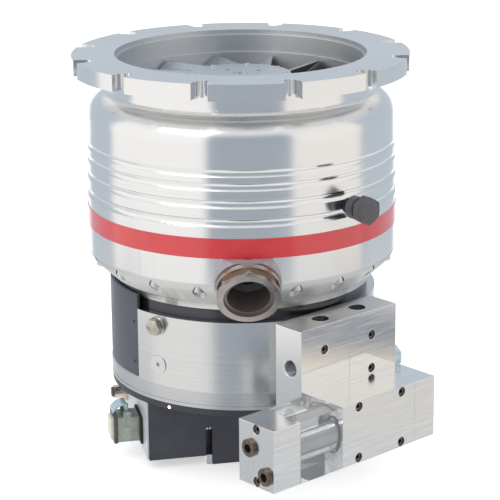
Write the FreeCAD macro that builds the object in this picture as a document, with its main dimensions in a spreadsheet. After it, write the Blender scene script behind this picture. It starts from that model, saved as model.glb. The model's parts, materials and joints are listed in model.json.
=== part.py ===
import FreeCAD, Part
import math
import os
from types import SimpleNamespace

import Sketcher
from FreeCAD import Placement, Rotation, Vector

# A large turbomolecular pump with a slotted inlet flange, in millimetres.
# +Z is the rotor axis, pointing out of the inlet. The origin is on that axis, in the
# plane that the pump stands on. -Y is the side of the foreline port, and a turn is
# counted in degrees from -Y towards +X.

doc = FreeCAD.newDocument("TurboPump")
sheet = doc.addObject("Spreadsheet::Sheet", "Sizes")

SIZES = {
    # The stack from the floor up to the collar of the casing
    "drive_height": 71.5, "lid_thickness": 6.5, "ring_height": 17.0, "body_height": 72.0,
    "neck_ring_height": 11.8,
    # The casing above that, from the collar up to the inlet
    "collar_length": 6.9, "cone_length": 17.3, "cone_round": 10.0, "lower_barrel": 39.0,
    "shoulder_straight": 12.0, "upper_barrel": 94.0, "shoulder_length": 20.0,
    "neck_length": 24.0, "flange_thickness": 16.0,
    # Inlet flange with its open bolt slots, and the bore inside it
    "flange_radius": 167.5, "slot_circle": 155.0, "slot_width": 11.0, "slot_mouth": 16.0,
    "slot_straight": 3.5, "recess_radius": 125.0, "recess_depth": 5.0, "bore_radius": 122.0,
    "ledge_radius": 120.0, "ledge_depth": 23.0,
    # Outer form of the casing
    "neck_radius": 129.0, "neck_fillet": 8.0, "shoulder_set": 2.0, "shoulder_curve": 20.5,
    "barrel_radius": 155.0, "cone_curve": 16.1, "cone_set": 3.5, "cone_spread": 3.0,
    "collar_step": 5.0, "rib_radius": 5.5, "rib_depth": 2.7, "rib_first": 19.5,
    "rib_second": 37.5, "rib_third": 54.0, "rib_fourth": 67.0,
    # Inner form of the casing
    "chamber_wall": 15.0, "seat_depth": 6.0, "drag_seat": 26.0, "stage_pitch": 34.0,
    "foreline_space": 126.0, "floor_thickness": 13.2, "shaft_opening": 36.0,
    # Screws that pull the two halves of the casing together
    "casing_screw_inset": 7.3, "casing_pocket": 6.8, "casing_pocket_drop": 3.5,
    "casing_head": 5.9, "casing_head_length": 8.0, "casing_shank": 3.4,
    "casing_shank_length": 54.5, "casing_thread_depth": 18.0, "screw_fit": 0.1,
    # Coloured band round the casing
    "band_below": 14.8, "band_width": 19.6, "band_thickness": 0.5,
    # Foreline port, which points down and outwards
    "port_out": 17.0, "port_drop": 10.1, "port_tilt": 28.0, "port_bore": 20.5,
    "port_rim": 30.3, "port_rim_edge": 3.2, "port_recess": 23.8, "port_recess_depth": 3.0,
    "port_waist": 25.0, "port_waist_depth": 6.0, "port_flats": 50.0,
    "port_hexagon_end": 12.0, "port_collar": 30.5, "port_collar_end": 17.0,
    "port_stub": 23.5, "port_stub_end": 30.0, "port_seal": 1.0, "boss_radius": 32.0,
    "boss_length": 48.0, "boss_allowance": 1.0, "port_channel": 21.5, "port_fit": 0.05,
    # Rotor: hub, cap, blade wheels, drag sleeve and shaft
    "hub_radius": 46.0, "hub_bore": 38.0, "hub_skirt": 2.0,
    "cap_radius": 50.0, "cap_sink": 22.0, "cap_thickness": 4.0,
    "cap_screw_circle": 46.5, "cap_screw_radius": 2.6, "cap_screw_rise": 1.2,
    "cap_screw_shank": 1.3, "cap_hole_circle": 22.0, "cap_hole_radius": 2.5,
    "cap_hole_depth": 2.0, "cap_centre_radius": 8.0, "cap_centre_depth": 1.5,
    "blade_root": 50.0, "tip_gap": 2.4, "blade_start": 36.0, "wheel_gap": 2.0,
    "wheel_height": 14.0, "blade_one_lean": 25.0, "blade_one_width": 4.8,
    "blade_two_lean": 7.0, "blade_two_width": 3.2,
    "drag_disc_gap": 5.0, "drag_disc_thickness": 7.0, "drag_radius": 106.0,
    "drag_wall": 3.5, "drag_clear": 7.0, "ring_fit": 0.1,
    "shaft_radius": 14.0, "shaft_below": 42.0, "shaft_magnet": 19.0, "magnet_rise": 20.0,
    "magnet_length": 42.0,
    # Stator wheels and the drag stator, stacked in the casing
    "vane_ring_inset": 0.5, "vane_height": 12.0, "vane_sink": 2.0, "vane_gap": 5.5,
    "vane_inner_wall": 3.0, "vane_lean": 5.0, "vane_width": 2.6, "drag_gap": 0.8,
    "drag_stator_wall": 6.0,
    # Bearing column that stands inside the rotor
    "column_gap": 3.5, "column_wall": 3.5, "column_below": 8.0, "column_tail": 16.0,
    "column_flange": 48.0, "column_flange_thickness": 4.0, "bearing_gap": 0.4,
    "upper_bearing_below": 6.0, "upper_bearing_length": 28.0, "lower_bearing_above": 4.0,
    "lower_bearing_length": 24.0, "motor_gap": 0.8,
    # Vent screw
    "vent_turn": 38.5, "vent_rise": 26.7, "vent_stud": 4.95, "vent_sink": 11.0,
    "vent_out": 20.0, "vent_flats": 24.0, "vent_knob_length": 11.5, "vent_fit": 0.05,
    "vent_seal_radius": 7.5, "vent_seal_length": 2.4, "vent_knob_depth": 6.0,
    "vent_spot": 9.0,
    # Body below the casing
    "neck_ring_step": 8.0, "body_radius": 135.0, "body_bore": 60.0, "flat_depth": 5.0,
    "ring_step": 0.5, "ring_groove_rise": 3.5, "ring_groove_width": 0.8,
    # Dark cover wrapped round the side of the body
    "cover_start": -52.0, "cover_end": -172.0, "cover_wall": 3.0, "cover_fit": 0.2,
    "cover_over": 2.7, "cover_edge": 1.0, "cover_screw_turn": 2.5,
    "cover_screw_drop": 14.4, "cover_screw_lift": 16.0, "cover_screw_head": 3.2,
    "cover_screw_rise": 0.6, "cover_screw_shank": 1.6, "cover_screw_length": 9.0,
    # Plugs in the body
    "plug_turn": -40.0, "purge_drop": 11.0, "purge_flats": 15.0, "purge_collar": 9.5,
    "purge_collar_length": 2.5, "purge_head": 6.0, "purge_shank": 6.5,
    "purge_shank_length": 10.0, "disc_lift": 20.8, "disc_radius": 9.5, "disc_rise": 0.8,
    "disc_hole": 2.0, "disc_hole_depth": 3.0, "disc_depth": 5.0,
    # Drive electronics under the body
    "drive_turn": 10.2, "drive_front": 74.3, "drive_left": 112.7,
    "drive_right": 100.0, "drive_back": 90.0, "drive_foot": 10.0,
    "slot_right": 48.5, "drive_slot": 6.5, "slot_top": 40.0, "slot_depth": 12.0,
    "foot_width": 6.0, "foot_top": 11.0, "slot_screw": 1.45, "slot_screw_shank": 0.8,
    "slot_screw_length": 8.0, "slot_screw_rise": 9.0, "slot_screw_pitch": 3.3,
    "slot_screw_drop": 1.8,
    "light_along": 92.8, "light_drop": 5.2, "light_radius": 2.0, "light_rise": 0.5,
    "light_depth": 4.0,
    # Connector plate and the two connectors on it
    "plate_thickness": 2.0, "plate_margin": 1.0, "power_along": 30.0, "power_height": 33.0,
    "gasket_width": 40.0, "gasket_tall": 28.0, "gasket_thickness": 2.5,
    "shell_width": 26.0, "shell_tall": 26.0, "shell_length": 22.0, "shell_wall": 2.4,
    "lip_width": 28.0, "lip_thickness": 4.0, "insert_rise": 7.0,
    "insert_depth": 20.0, "ear_thickness": 3.0, "ear_length": 8.0, "ear_rise": 6.0,
    "ear_start": 8.0, "lever_pin": 1.5, "lever_fit": 0.06, "lever_thickness": 1.6,
    "lever_width": 18.0, "lever_height": 3.5, "lever_reach": 15.0, "lever_rise": 10.0,
    "lever_bend": 16.0, "side_screw": 3.2, "side_screw_rise": 0.8, "side_screw_shank": 1.5,
    "side_screw_out": 12.0,
    "signal_along": 55.0, "signal_height": 38.0, "signal_radius": 7.0, "signal_length": 11.0,
    "signal_bore": 5.4, "signal_hexagon": 17.0, "signal_hexagon_length": 3.0,
    "signal_insert_rise": 2.5,
    # Valve block on the flat of the body
    "block_turn": 40.0, "upright_seam": 10.5, "upright_left_width": 64.5,
    "upright_right_width": 64.1, "upright_depth": 35.2, "upright_over": 3.5,
    "upright_hang": 12.0, "bar_depth": 47.2, "bar_foot": 44.5, "bar_height": 61.3,
    "sight_right": 66.2, "sight_length": 54.3, "bar_end_length": 33.9, "bar_joint": 32.0,
    "bar_right_length": 28.0, "thread_radius": 8.4, "thread_depth": 16.0,
    "top_port_left": 33.0, "top_port_right": 17.0, "side_port_in": 20.0,
    "side_port_drop": 40.4,
    # Screws of the valve block
    "block_bore": 4.6, "block_bore_depth": 7.0, "block_head": 4.3, "block_head_length": 5.0,
    "block_shank": 2.5, "block_shank_length": 14.0, "block_socket": 4.0,
    "block_socket_depth": 2.5, "screw_edge": 5.0,
    "upright_screw_left": 43.6, "upright_screw_right": 20.4, "upright_screw_drop": 24.9,
    "upright_screw_lift": 5.7, "main_screw_left": 44.3, "main_screw_right": 14.0,
    # Plugs in the end of the bar, the sight glass and the side fitting
    "end_plug_collar": 8.7, "end_plug_rise": 3.5, "end_plug_socket": 8.0,
    "end_plug_socket_depth": 5.0, "end_plug_shank": 6.5, "end_plug_length": 10.0,
    "end_plug_in": 15.6, "end_plug_drop": 24.6, "end_plug_edge": 10.1, "end_plug_lift": 14.1,
    "sight_bore": 15.0, "sight_fit": 0.1, "sight_tube_wall": 2.5, "sight_seal_wire": 1.2,
    "fitting_in": 22.0, "fitting_lift": 5.2, "fitting_flats": 22.0,
    "fitting_length": 9.0, "fitting_collar": 12.0, "fitting_collar_length": 3.0,
    "fitting_shank": 8.0, "fitting_shank_length": 12.0,
}

SLOT_COUNT = 12
CASING_SCREW_COUNT = 20
CAP_SCREW_COUNT = 8
CAP_HOLE_COUNT = 4
BLADE_COUNT_ONE = 13
BLADE_COUNT_TWO = 22
VANE_COUNT = 22
FIRST_BLADE_TURN = 8.5
FIRST_CAP_TURN = 35.0


class Size:
    """A length with its value and the sheet expression that it comes from."""

    def __init__(self, value, text=None):
        self.value = float(value)
        self.text = text or repr(float(value))

    def __add__(self, other):
        other = as_size(other)
        return Size(self.value + other.value, f"({self.text} + {other.text})")

    def __sub__(self, other):
        other = as_size(other)
        return Size(self.value - other.value, f"({self.text} - {other.text})")

    def __mul__(self, factor):
        return Size(self.value * factor, f"({self.text} * {factor!r})")

    def __neg__(self):
        return Size(-self.value, f"(-1 * {self.text})")

    __radd__ = __add__


def as_size(number):
    return number if isinstance(number, Size) else Size(number)


for row, (alias, number) in enumerate(SIZES.items(), start=1):
    sheet.set(f"A{row}", alias)
    sheet.set(f"B{row}", str(number))
    sheet.setAlias(f"B{row}", alias)
D = SimpleNamespace(**{alias: Size(number, f"Sizes.{alias}") for alias, number in SIZES.items()})
doc.recompute()

# Heights above the floor, stacked from the lengths of the parts
D.ring_foot = D.drive_height + D.lid_thickness
D.body_foot = D.ring_foot + D.ring_height
D.body_top = D.body_foot + D.body_height
D.collar_foot = D.body_top + D.neck_ring_height
D.cone_foot = D.collar_foot + D.collar_length
D.cone_height = D.cone_foot + D.cone_length
D.cone_top = D.cone_height + D.cone_round
D.parting_height = D.cone_top + D.lower_barrel
D.barrel_straight = D.parting_height + D.shoulder_straight
D.shoulder_bottom = D.parting_height + D.upper_barrel
D.shoulder_top = D.shoulder_bottom + D.shoulder_length
D.flange_foot = D.shoulder_top + D.neck_length
D.inlet_height = D.flange_foot + D.flange_thickness
D.band_bottom = D.parting_height - D.band_below
D.casing_ceiling = D.cone_top - D.casing_pocket_drop
D.port_height = D.cone_top - D.port_drop
D.vent_height = D.parting_height + D.vent_rise

# Heights of what stands inside the casing
D.floor_height = D.collar_foot + D.floor_thickness
D.stack_seat = D.parting_height - D.seat_depth
D.stack_lower = D.stack_seat + D.drag_seat
D.stack_middle = D.stack_lower + D.stage_pitch
D.stack_top = D.stack_middle + D.stage_pitch
D.cap_top = D.inlet_height - D.cap_sink
D.drag_disc_top = D.stack_lower - D.drag_disc_gap
D.drag_foot = D.floor_height + D.drag_clear
D.hub_roof = D.stack_middle
D.magnet_foot = D.floor_height + D.magnet_rise
D.magnet_top = D.magnet_foot + D.magnet_length
D.column_top = D.hub_roof - D.column_below
D.column_foot = D.floor_height - D.column_tail

# Radii and reaches that follow from a neighbour's
D.cover_inner = D.body_radius - D.cover_wall
D.collar_radius = D.body_radius - D.collar_step
D.cone_foot_radius = D.collar_radius + D.cone_spread
D.cone_radius = D.barrel_radius - D.cone_set
D.neck_ring_radius = D.body_radius - D.neck_ring_step
D.ring_radius = D.body_radius + D.ring_step
D.flat_reach = D.body_radius - D.flat_depth
D.chamber_radius = D.barrel_radius - D.chamber_wall
D.casing_screw_circle = D.barrel_radius - D.casing_screw_inset
D.port_reach = D.barrel_radius + D.port_out
D.vent_reach = D.barrel_radius + D.vent_out
D.blade_tip = D.ledge_radius - D.tip_gap
D.vane_ring_bore = D.ledge_radius - D.vane_ring_inset
D.vane_inner = D.hub_radius + D.vane_gap
D.column_radius = D.hub_bore - D.column_gap
D.slot_left = D.slot_right + D.drive_slot
D.slot_middle = (D.slot_left + D.slot_right) * 0.5

# Places in the valve block
D.upright_front = D.flat_reach + D.upright_depth
D.upright_middle = (D.flat_reach + D.upright_front) * 0.5
D.upright_top = D.body_top + D.upright_over
D.upright_left = D.upright_seam + D.upright_left_width
D.upright_right = D.upright_right_width - D.upright_seam
D.bar_front = D.upright_front + D.bar_depth
D.bar_top = D.bar_foot + D.bar_height
D.bar_middle = (D.upright_front + D.bar_front) * 0.5
D.sight_left = D.sight_right + D.sight_length
D.sight_height = (D.bar_foot + D.bar_top) * 0.5
D.sight_tube = D.sight_bore - D.sight_fit
D.bar_left = D.sight_left + D.bar_end_length
D.bar_right = D.bar_joint + D.bar_right_length
D.screw_row_high = D.bar_top - D.screw_edge
D.screw_row_low = D.bar_foot + D.screw_edge

NODES = {}


def new_body(label):
    """A sub-part's body, kept under the name that its file has too."""
    body = doc.addObject("PartDesign::Body", label)
    body.Label = label
    NODES[label] = body
    return body


def sketch(body, plane, offset=0, turn=0, frame=None):
    """A sketch on the body's own origin plane, moved along its normal and turned about Z."""
    offset = as_size(offset)
    drawing = body.newObject("Sketcher::SketchObject", body.Name + "_sketch")
    support = next(f for f in body.Origin.OriginFeatures if f.Role == plane)
    drawing.AttachmentSupport = [(support, "")]
    drawing.MapMode = "FlatFace"
    upright = Vector(0, 0, 1) if plane == "XY_Plane" else Vector(0, 1, 0)
    turned = Rotation(upright, turn)
    placed = Placement(turned.multVec(Vector(0, 0, offset.value)), turned)
    drawing.AttachmentOffset = frame or placed
    if turn == 0 and frame is None:
        drawing.setExpression("AttachmentOffset.Base.z", offset.text)
    return drawing


def pin(drawing, geometry, position, x, y):
    """Hold a point of the drawing at sizes from the sheet."""
    for kind, axis, size in (("DistanceX", -2, x), ("DistanceY", -1, y)):
        if size.value == 0:
            drawing.addConstraint(Sketcher.Constraint("PointOnObject", geometry, position, axis))
        else:
            rule = Sketcher.Constraint(kind, -1, 1, geometry, position, size.value)
            drawing.setExpression(f"Constraints[{drawing.addConstraint(rule)}]", size.text)


def hold_radius(drawing, geometry, radius):
    rule = Sketcher.Constraint("Radius", geometry, radius.value)
    drawing.setExpression(f"Constraints[{drawing.addConstraint(rule)}]", radius.text)


def arc_between(start, end, radius):
    """The short arc from start to end: anticlockwise for a positive radius."""
    chord = end - start
    left = Vector(-chord.y, chord.x, 0).normalize()
    rise = math.sqrt(radius ** 2 - (chord.Length / 2) ** 2)
    centre = (start + end) * 0.5 + left * math.copysign(rise, radius)
    first, last = (start, end) if radius > 0 else (end, start)
    angles = [math.atan2(p.y - centre.y, p.x - centre.x) for p in (first, last)]
    if angles[1] < angles[0]:
        angles[1] += 2 * math.pi
    return Part.ArcOfCircle(Part.Circle(centre, Vector(0, 0, 1), abs(radius)), *angles)


def outline(drawing, points):
    """A closed outline through points (x, y) or (x, y, radius of the arc to the next)."""
    corners = [(as_size(p[0]), as_size(p[1])) for p in points]
    bends = [as_size(p[2]) if len(p) > 2 else None for p in points]
    places = [Vector(x.value, y.value, 0) for x, y in corners]
    ends = []
    for i, bend in enumerate(bends):
        start, end = places[i], places[(i + 1) % len(places)]
        if bend is None:
            edge = drawing.addGeometry(Part.LineSegment(start, end), False)
            ends.append((edge, 1, 2))
        else:
            edge = drawing.addGeometry(arc_between(start, end, bend.value), False)
            ends.append((edge, 1, 2) if bend.value > 0 else (edge, 2, 1))
    for i, (edge, start, end) in enumerate(ends):
        following, first, _ = ends[(i + 1) % len(ends)]
        drawing.addConstraint(Sketcher.Constraint("Coincident", edge, end, following, first))
        pin(drawing, edge, start, *corners[i])
    for (edge, _, _), bend in zip(ends, bends):
        if bend is not None:
            hold_radius(drawing, edge, bend if bend.value > 0 else -bend)


def rectangle(drawing, left, bottom, right, top):
    outline(drawing, [(left, bottom), (right, bottom), (right, top), (left, top)])


def circle(drawing, x, y, radius):
    x, y = as_size(x), as_size(y)
    ring = Part.Circle(Vector(x.value, y.value, 0), Vector(0, 0, 1), radius.value)
    edge = drawing.addGeometry(ring, False)
    pin(drawing, edge, 3, x, y)
    hold_radius(drawing, edge, radius)


def hexagon(drawing, x, y, flats):
    """A hexagon by its width across flats, with corners at the top and the bottom."""
    x, y = as_size(x), as_size(y)
    half, corner = flats * 0.5, flats * (1 / math.sqrt(3))
    outline(drawing, [
        (x, y + corner), (x - half, y + corner * 0.5), (x - half, y - corner * 0.5),
        (x, y - corner), (x + half, y - corner * 0.5), (x + half, y + corner * 0.5)])


def revolve(body, profile, kind="Revolution", angle=360):
    feature = body.newObject("PartDesign::" + kind, body.Name + "_" + kind.lower())
    feature.Profile = profile
    feature.ReferenceAxis = (profile, ["V_Axis"])
    feature.Angle = angle
    return feature


def groove(body, profile, angle=360):
    return revolve(body, profile, "Groove", angle)


def extrude(body, profile, kind, length, backwards):
    length = as_size(length)
    feature = body.newObject("PartDesign::" + kind, body.Name + "_" + kind.lower())
    feature.Profile = profile
    feature.Length = length.value
    feature.setExpression("Length", length.text)
    feature.Reversed = backwards
    return feature


def pad(body, profile, length, backwards=False):
    return extrude(body, profile, "Pad", length, backwards)


def pocket(body, profile, depth, backwards=False):
    return extrude(body, profile, "Pocket", depth, backwards)


def polar(body, feature, count):
    """Repeat a feature round the body's Z axis."""
    pattern = body.newObject("PartDesign::PolarPattern", body.Name + "_pattern")
    axis = next(f for f in body.Origin.OriginFeatures if f.Role == "Z_Axis")
    pattern.Originals = [feature]
    pattern.Axis = (axis, [""])
    pattern.Angle = 360
    pattern.Occurrences = count
    body.Tip = pattern
    return pattern


def turned(label, points):
    """A body turned about its Z axis from one outline of radius and height."""
    body = new_body(label)
    profile = sketch(body, "XZ_Plane")
    outline(profile, points)
    revolve(body, profile)
    return body


def ring(label, inner, outer, bottom, top):
    return turned(label, [(inner, bottom), (outer, bottom), (outer, top), (inner, top)])


def block(label, left, right, back, front, bottom, top):
    """A square block, with back and front counted towards -Y."""
    body = new_body(label)
    profile = sketch(body, "XY_Plane", bottom)
    rectangle(profile, left, -front, right, -back)
    pad(body, profile, top - bottom)
    return body


def seal(label, radius, height, wire):
    """A round sealing ring about the Z axis."""
    body = new_body(label)
    profile = sketch(body, "XZ_Plane")
    circle(profile, radius, height, wire)
    revolve(body, profile)
    return body


def about_axis(degrees):
    """A turn about the rotor axis."""
    return Placement(Vector(), Rotation(Vector(0, 0, 1), degrees))


def facing_out(degrees, height):
    """A frame on the rotor axis whose Z points out at this turn."""
    out = Rotation(Vector(0, 0, 1), degrees).multiply(Rotation(Vector(1, 0, 0), 90))
    return Placement(Vector(0, 0, height.value), out)


def port_frame():
    """The foreline port's own frame: Z runs out through the middle of its mouth."""
    return Placement(Vector(0, -D.port_reach.value, D.port_height.value),
                     Rotation(Vector(1, 0, 0), 90 + D.port_tilt.value))


def group(label, master, placements):
    """A node of equal separate solids, placed from a master body that isn't kept."""
    del NODES[master.Label]
    doc.recompute()
    solids = []
    for placement in placements:
        solid = master.Shape.copy()
        solid.Placement = placement.multiply(solid.Placement)
        solids.append(solid)
    node = doc.addObject("Part::Feature", label + "_group")
    node.Shape = Part.makeCompound(solids)
    node.Label = label
    NODES[label] = node
    return node


def screw(label, head, head_length, shank, shank_length):
    """A screw along Z: its head starts at zero and rises, its shank goes down."""
    zero = Size(0)
    return turned(label, [
        (zero, -shank_length), (shank, -shank_length), (shank, zero), (head, zero),
        (head, head_length), (zero, head_length)])


# Casing

def inlet_casing():
    """Inlet flange, neck, shoulder and ribbed barrel, open right through."""
    recess_foot = D.inlet_height - D.recess_depth
    ledge = D.inlet_height - D.ledge_depth
    body = turned("inlet_casing", [
        (D.chamber_radius, D.parting_height), (D.barrel_radius, D.parting_height),
        (D.barrel_radius, D.barrel_straight),
        (D.barrel_radius - D.shoulder_set, D.shoulder_bottom, D.shoulder_curve),
        (D.neck_radius + D.neck_fillet, D.shoulder_top, -D.neck_fillet),
        (D.neck_radius, D.shoulder_top + D.neck_fillet), (D.neck_radius, D.flange_foot),
        (D.flange_radius, D.flange_foot), (D.flange_radius, D.inlet_height),
        (D.recess_radius, D.inlet_height), (D.recess_radius, recess_foot),
        (D.bore_radius, recess_foot), (D.bore_radius, ledge), (D.ledge_radius, ledge),
        (D.ledge_radius, D.stack_top), (D.chamber_radius, D.stack_top)])
    ribs = sketch(body, "XZ_Plane")
    for rise in (D.rib_first, D.rib_second, D.rib_third, D.rib_fourth):
        circle(ribs, D.barrel_radius + D.rib_radius - D.rib_depth, D.parting_height + rise,
               D.rib_radius)
    groove(body, ribs)
    half, mouth = D.slot_width * 0.5, D.slot_mouth * 0.5
    outside = D.flange_radius + mouth
    mouth_start = D.slot_circle + D.slot_straight
    slot = sketch(body, "XY_Plane", D.inlet_height, 180 / SLOT_COUNT)
    outline(slot, [
        (half, -D.slot_circle, half * 1.01), (-half, -D.slot_circle), (-half, -mouth_start),
        (-mouth, -mouth_start), (-mouth, -outside), (mouth, -outside),
        (mouth, -mouth_start), (half, -mouth_start)])
    polar(body, pocket(body, slot, D.flange_thickness), SLOT_COUNT)
    threads = sketch(body, "XY_Plane", D.parting_height)
    circle(threads, 0, -D.casing_screw_circle, D.casing_shank + D.screw_fit)
    polar(body, pocket(body, threads, D.casing_thread_depth, True), CASING_SCREW_COUNT)
    vent = sketch(body, "XZ_Plane", D.barrel_radius, D.vent_turn.value)
    circle(vent, 0, D.vent_height, D.vent_stud + D.vent_fit)
    pocket(body, vent, D.barrel_radius - D.ledge_radius)


def lower_housing():
    """Lower half of the casing: cone with screw pockets, floor and foreline boss."""
    zero = Size(0)
    body = turned("lower_housing", [
        (zero, D.collar_foot), (D.collar_radius, D.collar_foot),
        (D.cone_foot_radius, D.cone_foot), (D.cone_radius, D.cone_height, D.cone_curve),
        (D.barrel_radius, D.cone_top), (D.barrel_radius, D.parting_height),
        (zero, D.parting_height)])
    recess = sketch(body, "XY_Plane", D.casing_ceiling)
    circle(recess, 0, -D.casing_screw_circle, D.casing_pocket)
    recess_cut = pocket(body, recess, D.casing_ceiling - D.collar_foot)
    polar(body, recess_cut, CASING_SCREW_COUNT)
    holes = sketch(body, "XY_Plane", D.casing_ceiling)
    circle(holes, 0, -D.casing_screw_circle, D.casing_shank + D.screw_fit)
    hole_cut = pocket(body, holes, D.parting_height - D.casing_ceiling, True)
    polar(body, hole_cut, CASING_SCREW_COUNT)
    boss_face = D.port_collar_end + D.port_seal
    cast_face = boss_face - D.boss_allowance
    boss_frame = port_frame().multiply(Placement(Vector(0, 0, -boss_face.value), Rotation()))
    cast_frame = port_frame().multiply(Placement(Vector(0, 0, -cast_face.value), Rotation()))
    boss = sketch(body, "XY_Plane", frame=cast_frame)
    circle(boss, 0, 0, D.boss_radius)
    pad(body, boss, D.boss_length, True)
    cavity = sketch(body, "XZ_Plane")
    outline(cavity, [
        (zero, D.collar_foot), (D.shaft_opening, D.collar_foot),
        (D.shaft_opening, D.floor_height), (D.foreline_space, D.floor_height),
        (D.foreline_space, D.stack_seat), (D.chamber_radius, D.stack_seat),
        (D.chamber_radius, D.parting_height), (D.barrel_radius, D.parting_height),
        (D.barrel_radius, D.band_bottom), (D.port_reach, D.band_bottom),
        (D.port_reach, D.parting_height + D.boss_radius),
        (zero, D.parting_height + D.boss_radius)])
    groove(body, cavity)
    for radius, depth, outwards in (
            (D.boss_radius + D.boss_allowance, D.port_collar_end, True),
            (D.port_stub + D.port_fit, D.port_stub_end - boss_face, False),
            (D.port_channel, D.boss_length, False)):
        bore = sketch(body, "XY_Plane", frame=boss_frame)
        circle(bore, 0, 0, radius)
        pocket(body, bore, depth, outwards)


def casing_screws():
    """The screws that hold the casing halves together, with their heads in the pockets."""
    master = screw("casing_screw", D.casing_head, D.casing_head_length,
                   D.casing_shank, D.casing_shank_length)
    flip = Rotation(Vector(1, 0, 0), 180)
    seat = Placement(Vector(0, -D.casing_screw_circle.value, D.casing_ceiling.value), flip)
    pitch = 360 / CASING_SCREW_COUNT
    turns = [pitch * i for i in range(1, CASING_SCREW_COUNT)]
    group("casing_screws", master, [about_axis(turn).multiply(seat) for turn in turns])


def colour_band():
    """Coloured band that covers the joint between the casing halves."""
    ring("colour_band", D.barrel_radius, D.barrel_radius + D.band_thickness,
         D.band_bottom, D.band_bottom + D.band_width)


def vent_screw():
    """Vent screw: a stud with a six-sided knob, and the ring that seals it."""
    knob_foot = D.vent_reach - D.vent_knob_depth
    vent_foot = D.barrel_radius - D.vent_sink
    zero = Size(0)
    stud = turned("vent_stud", [
        (zero, vent_foot), (D.vent_stud, vent_foot), (D.vent_stud, D.vent_reach),
        (zero, D.vent_reach)])
    knob = new_body("vent_knob")
    face = sketch(knob, "XY_Plane", D.vent_reach)
    hexagon(face, 0, 0, D.vent_flats)
    pad(knob, face, D.vent_knob_length)
    sleeve = sketch(knob, "XY_Plane", knob_foot)
    circle(sleeve, 0, 0, D.vent_spot - D.screw_fit)
    circle(sleeve, 0, 0, D.vent_stud)
    pad(knob, sleeve, D.vent_knob_depth)
    gasket = ring("vent_seal", D.vent_stud + D.vent_fit, D.vent_seal_radius,
                  D.barrel_radius, D.barrel_radius + D.vent_seal_length)
    for body in (stud, knob, gasket):
        body.Placement = facing_out(D.vent_turn.value, D.vent_height)


# Foreline port

def foreline_flange():
    """Small clamp flange with a hexagon for screwing it in, open along its axis."""
    body = turned("foreline_flange", [
        (D.port_bore, -D.port_stub_end), (D.port_stub, -D.port_stub_end),
        (D.port_stub, -D.port_waist_depth), (D.port_waist, -D.port_waist_depth),
        (D.port_rim, -D.port_rim_edge), (D.port_rim, Size(0)), (D.port_recess, Size(0)),
        (D.port_recess, -D.port_recess_depth), (D.port_bore, -D.port_recess_depth)])
    flats = sketch(body, "XY_Plane", -D.port_waist_depth)
    hexagon(flats, 0, 0, D.port_flats)
    circle(flats, 0, 0, D.port_bore)
    pad(body, flats, D.port_hexagon_end - D.port_waist_depth, True)
    body.Placement = port_frame()


def foreline_collar():
    """Loose ring under the hexagon, and the flat seal under that."""
    inner = D.port_stub + D.port_fit
    collar = ring("foreline_collar", inner, D.port_collar,
                  -D.port_collar_end, -D.port_hexagon_end)
    gasket = ring("foreline_seal", inner, D.port_collar - D.port_seal,
                  -(D.port_collar_end + D.port_seal), -D.port_collar_end)
    collar.Placement = port_frame()
    gasket.Placement = port_frame()


# Rotor

def rotor_hub():
    """Bell-shaped hub that carries the wheels and is shrunk onto the shaft."""
    foot = D.stack_seat - D.hub_skirt
    turned("rotor_hub", [
        (D.shaft_radius, D.hub_roof), (D.hub_bore, D.hub_roof), (D.hub_bore, foot),
        (D.hub_radius, foot), (D.hub_radius, D.cap_top - D.cap_thickness),
        (D.shaft_radius, D.cap_top - D.cap_thickness)])


def rotor_cap():
    """Disc that closes the hub, with tapped holes and screws on its face."""
    cap_foot = D.cap_top - D.cap_thickness
    cap = ring("rotor_cap", 0, D.cap_radius, cap_foot, D.cap_top)
    for x, radius, depth, count in (
            (D.cap_hole_circle, D.cap_hole_radius, D.cap_hole_depth, CAP_HOLE_COUNT),
            (D.cap_screw_circle, D.cap_screw_shank + D.screw_fit, D.cap_thickness, CAP_SCREW_COUNT)):
        hole = sketch(cap, "XY_Plane", D.cap_top)
        circle(hole, x, 0, radius)
        polar(cap, pocket(cap, hole, depth), count)
    centre = sketch(cap, "XY_Plane", D.cap_top)
    circle(centre, 0, 0, D.cap_centre_radius)
    pocket(cap, centre, D.cap_centre_depth)
    cap.Placement = about_axis(FIRST_CAP_TURN)
    master = screw("cap_screw", D.cap_screw_radius, D.cap_screw_rise,
                   D.cap_screw_shank, D.cap_thickness)
    seat = Placement(Vector(D.cap_screw_circle.value, 0, D.cap_top.value), Rotation())
    pitch = 360 / CAP_SCREW_COUNT
    group("cap_screws", master,
          [about_axis(FIRST_CAP_TURN + pitch * i).multiply(seat) for i in range(CAP_SCREW_COUNT)])


def blade_section(drawing, lean, width, foot, top):
    """A leaning blade seen along its own radius: its top leans to -X."""
    half = width * 0.5
    outline(drawing, [
        (lean - half, foot), (lean + half, foot), (half - lean, top), (-lean - half, top)])


def wheel(label, foot, top, lean, width, blades):
    """A rotor wheel: a ring on the hub with slanting blades."""
    bore = D.hub_radius + D.ring_fit
    body = ring(label, bore, D.blade_root, foot, top)
    section = sketch(body, "XZ_Plane", D.blade_start)
    blade_section(section, lean, width, foot, top)
    polar(body, pad(body, section, D.blade_tip + D.blade_root - D.blade_start), blades)
    trim = sketch(body, "XZ_Plane")
    zero = Size(0)
    rectangle(trim, zero, foot, bore, top)
    rectangle(trim, D.blade_tip, foot, D.blade_tip + D.blade_root * 2, top)
    groove(body, trim)
    body.Placement = about_axis(FIRST_BLADE_TURN)


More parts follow.
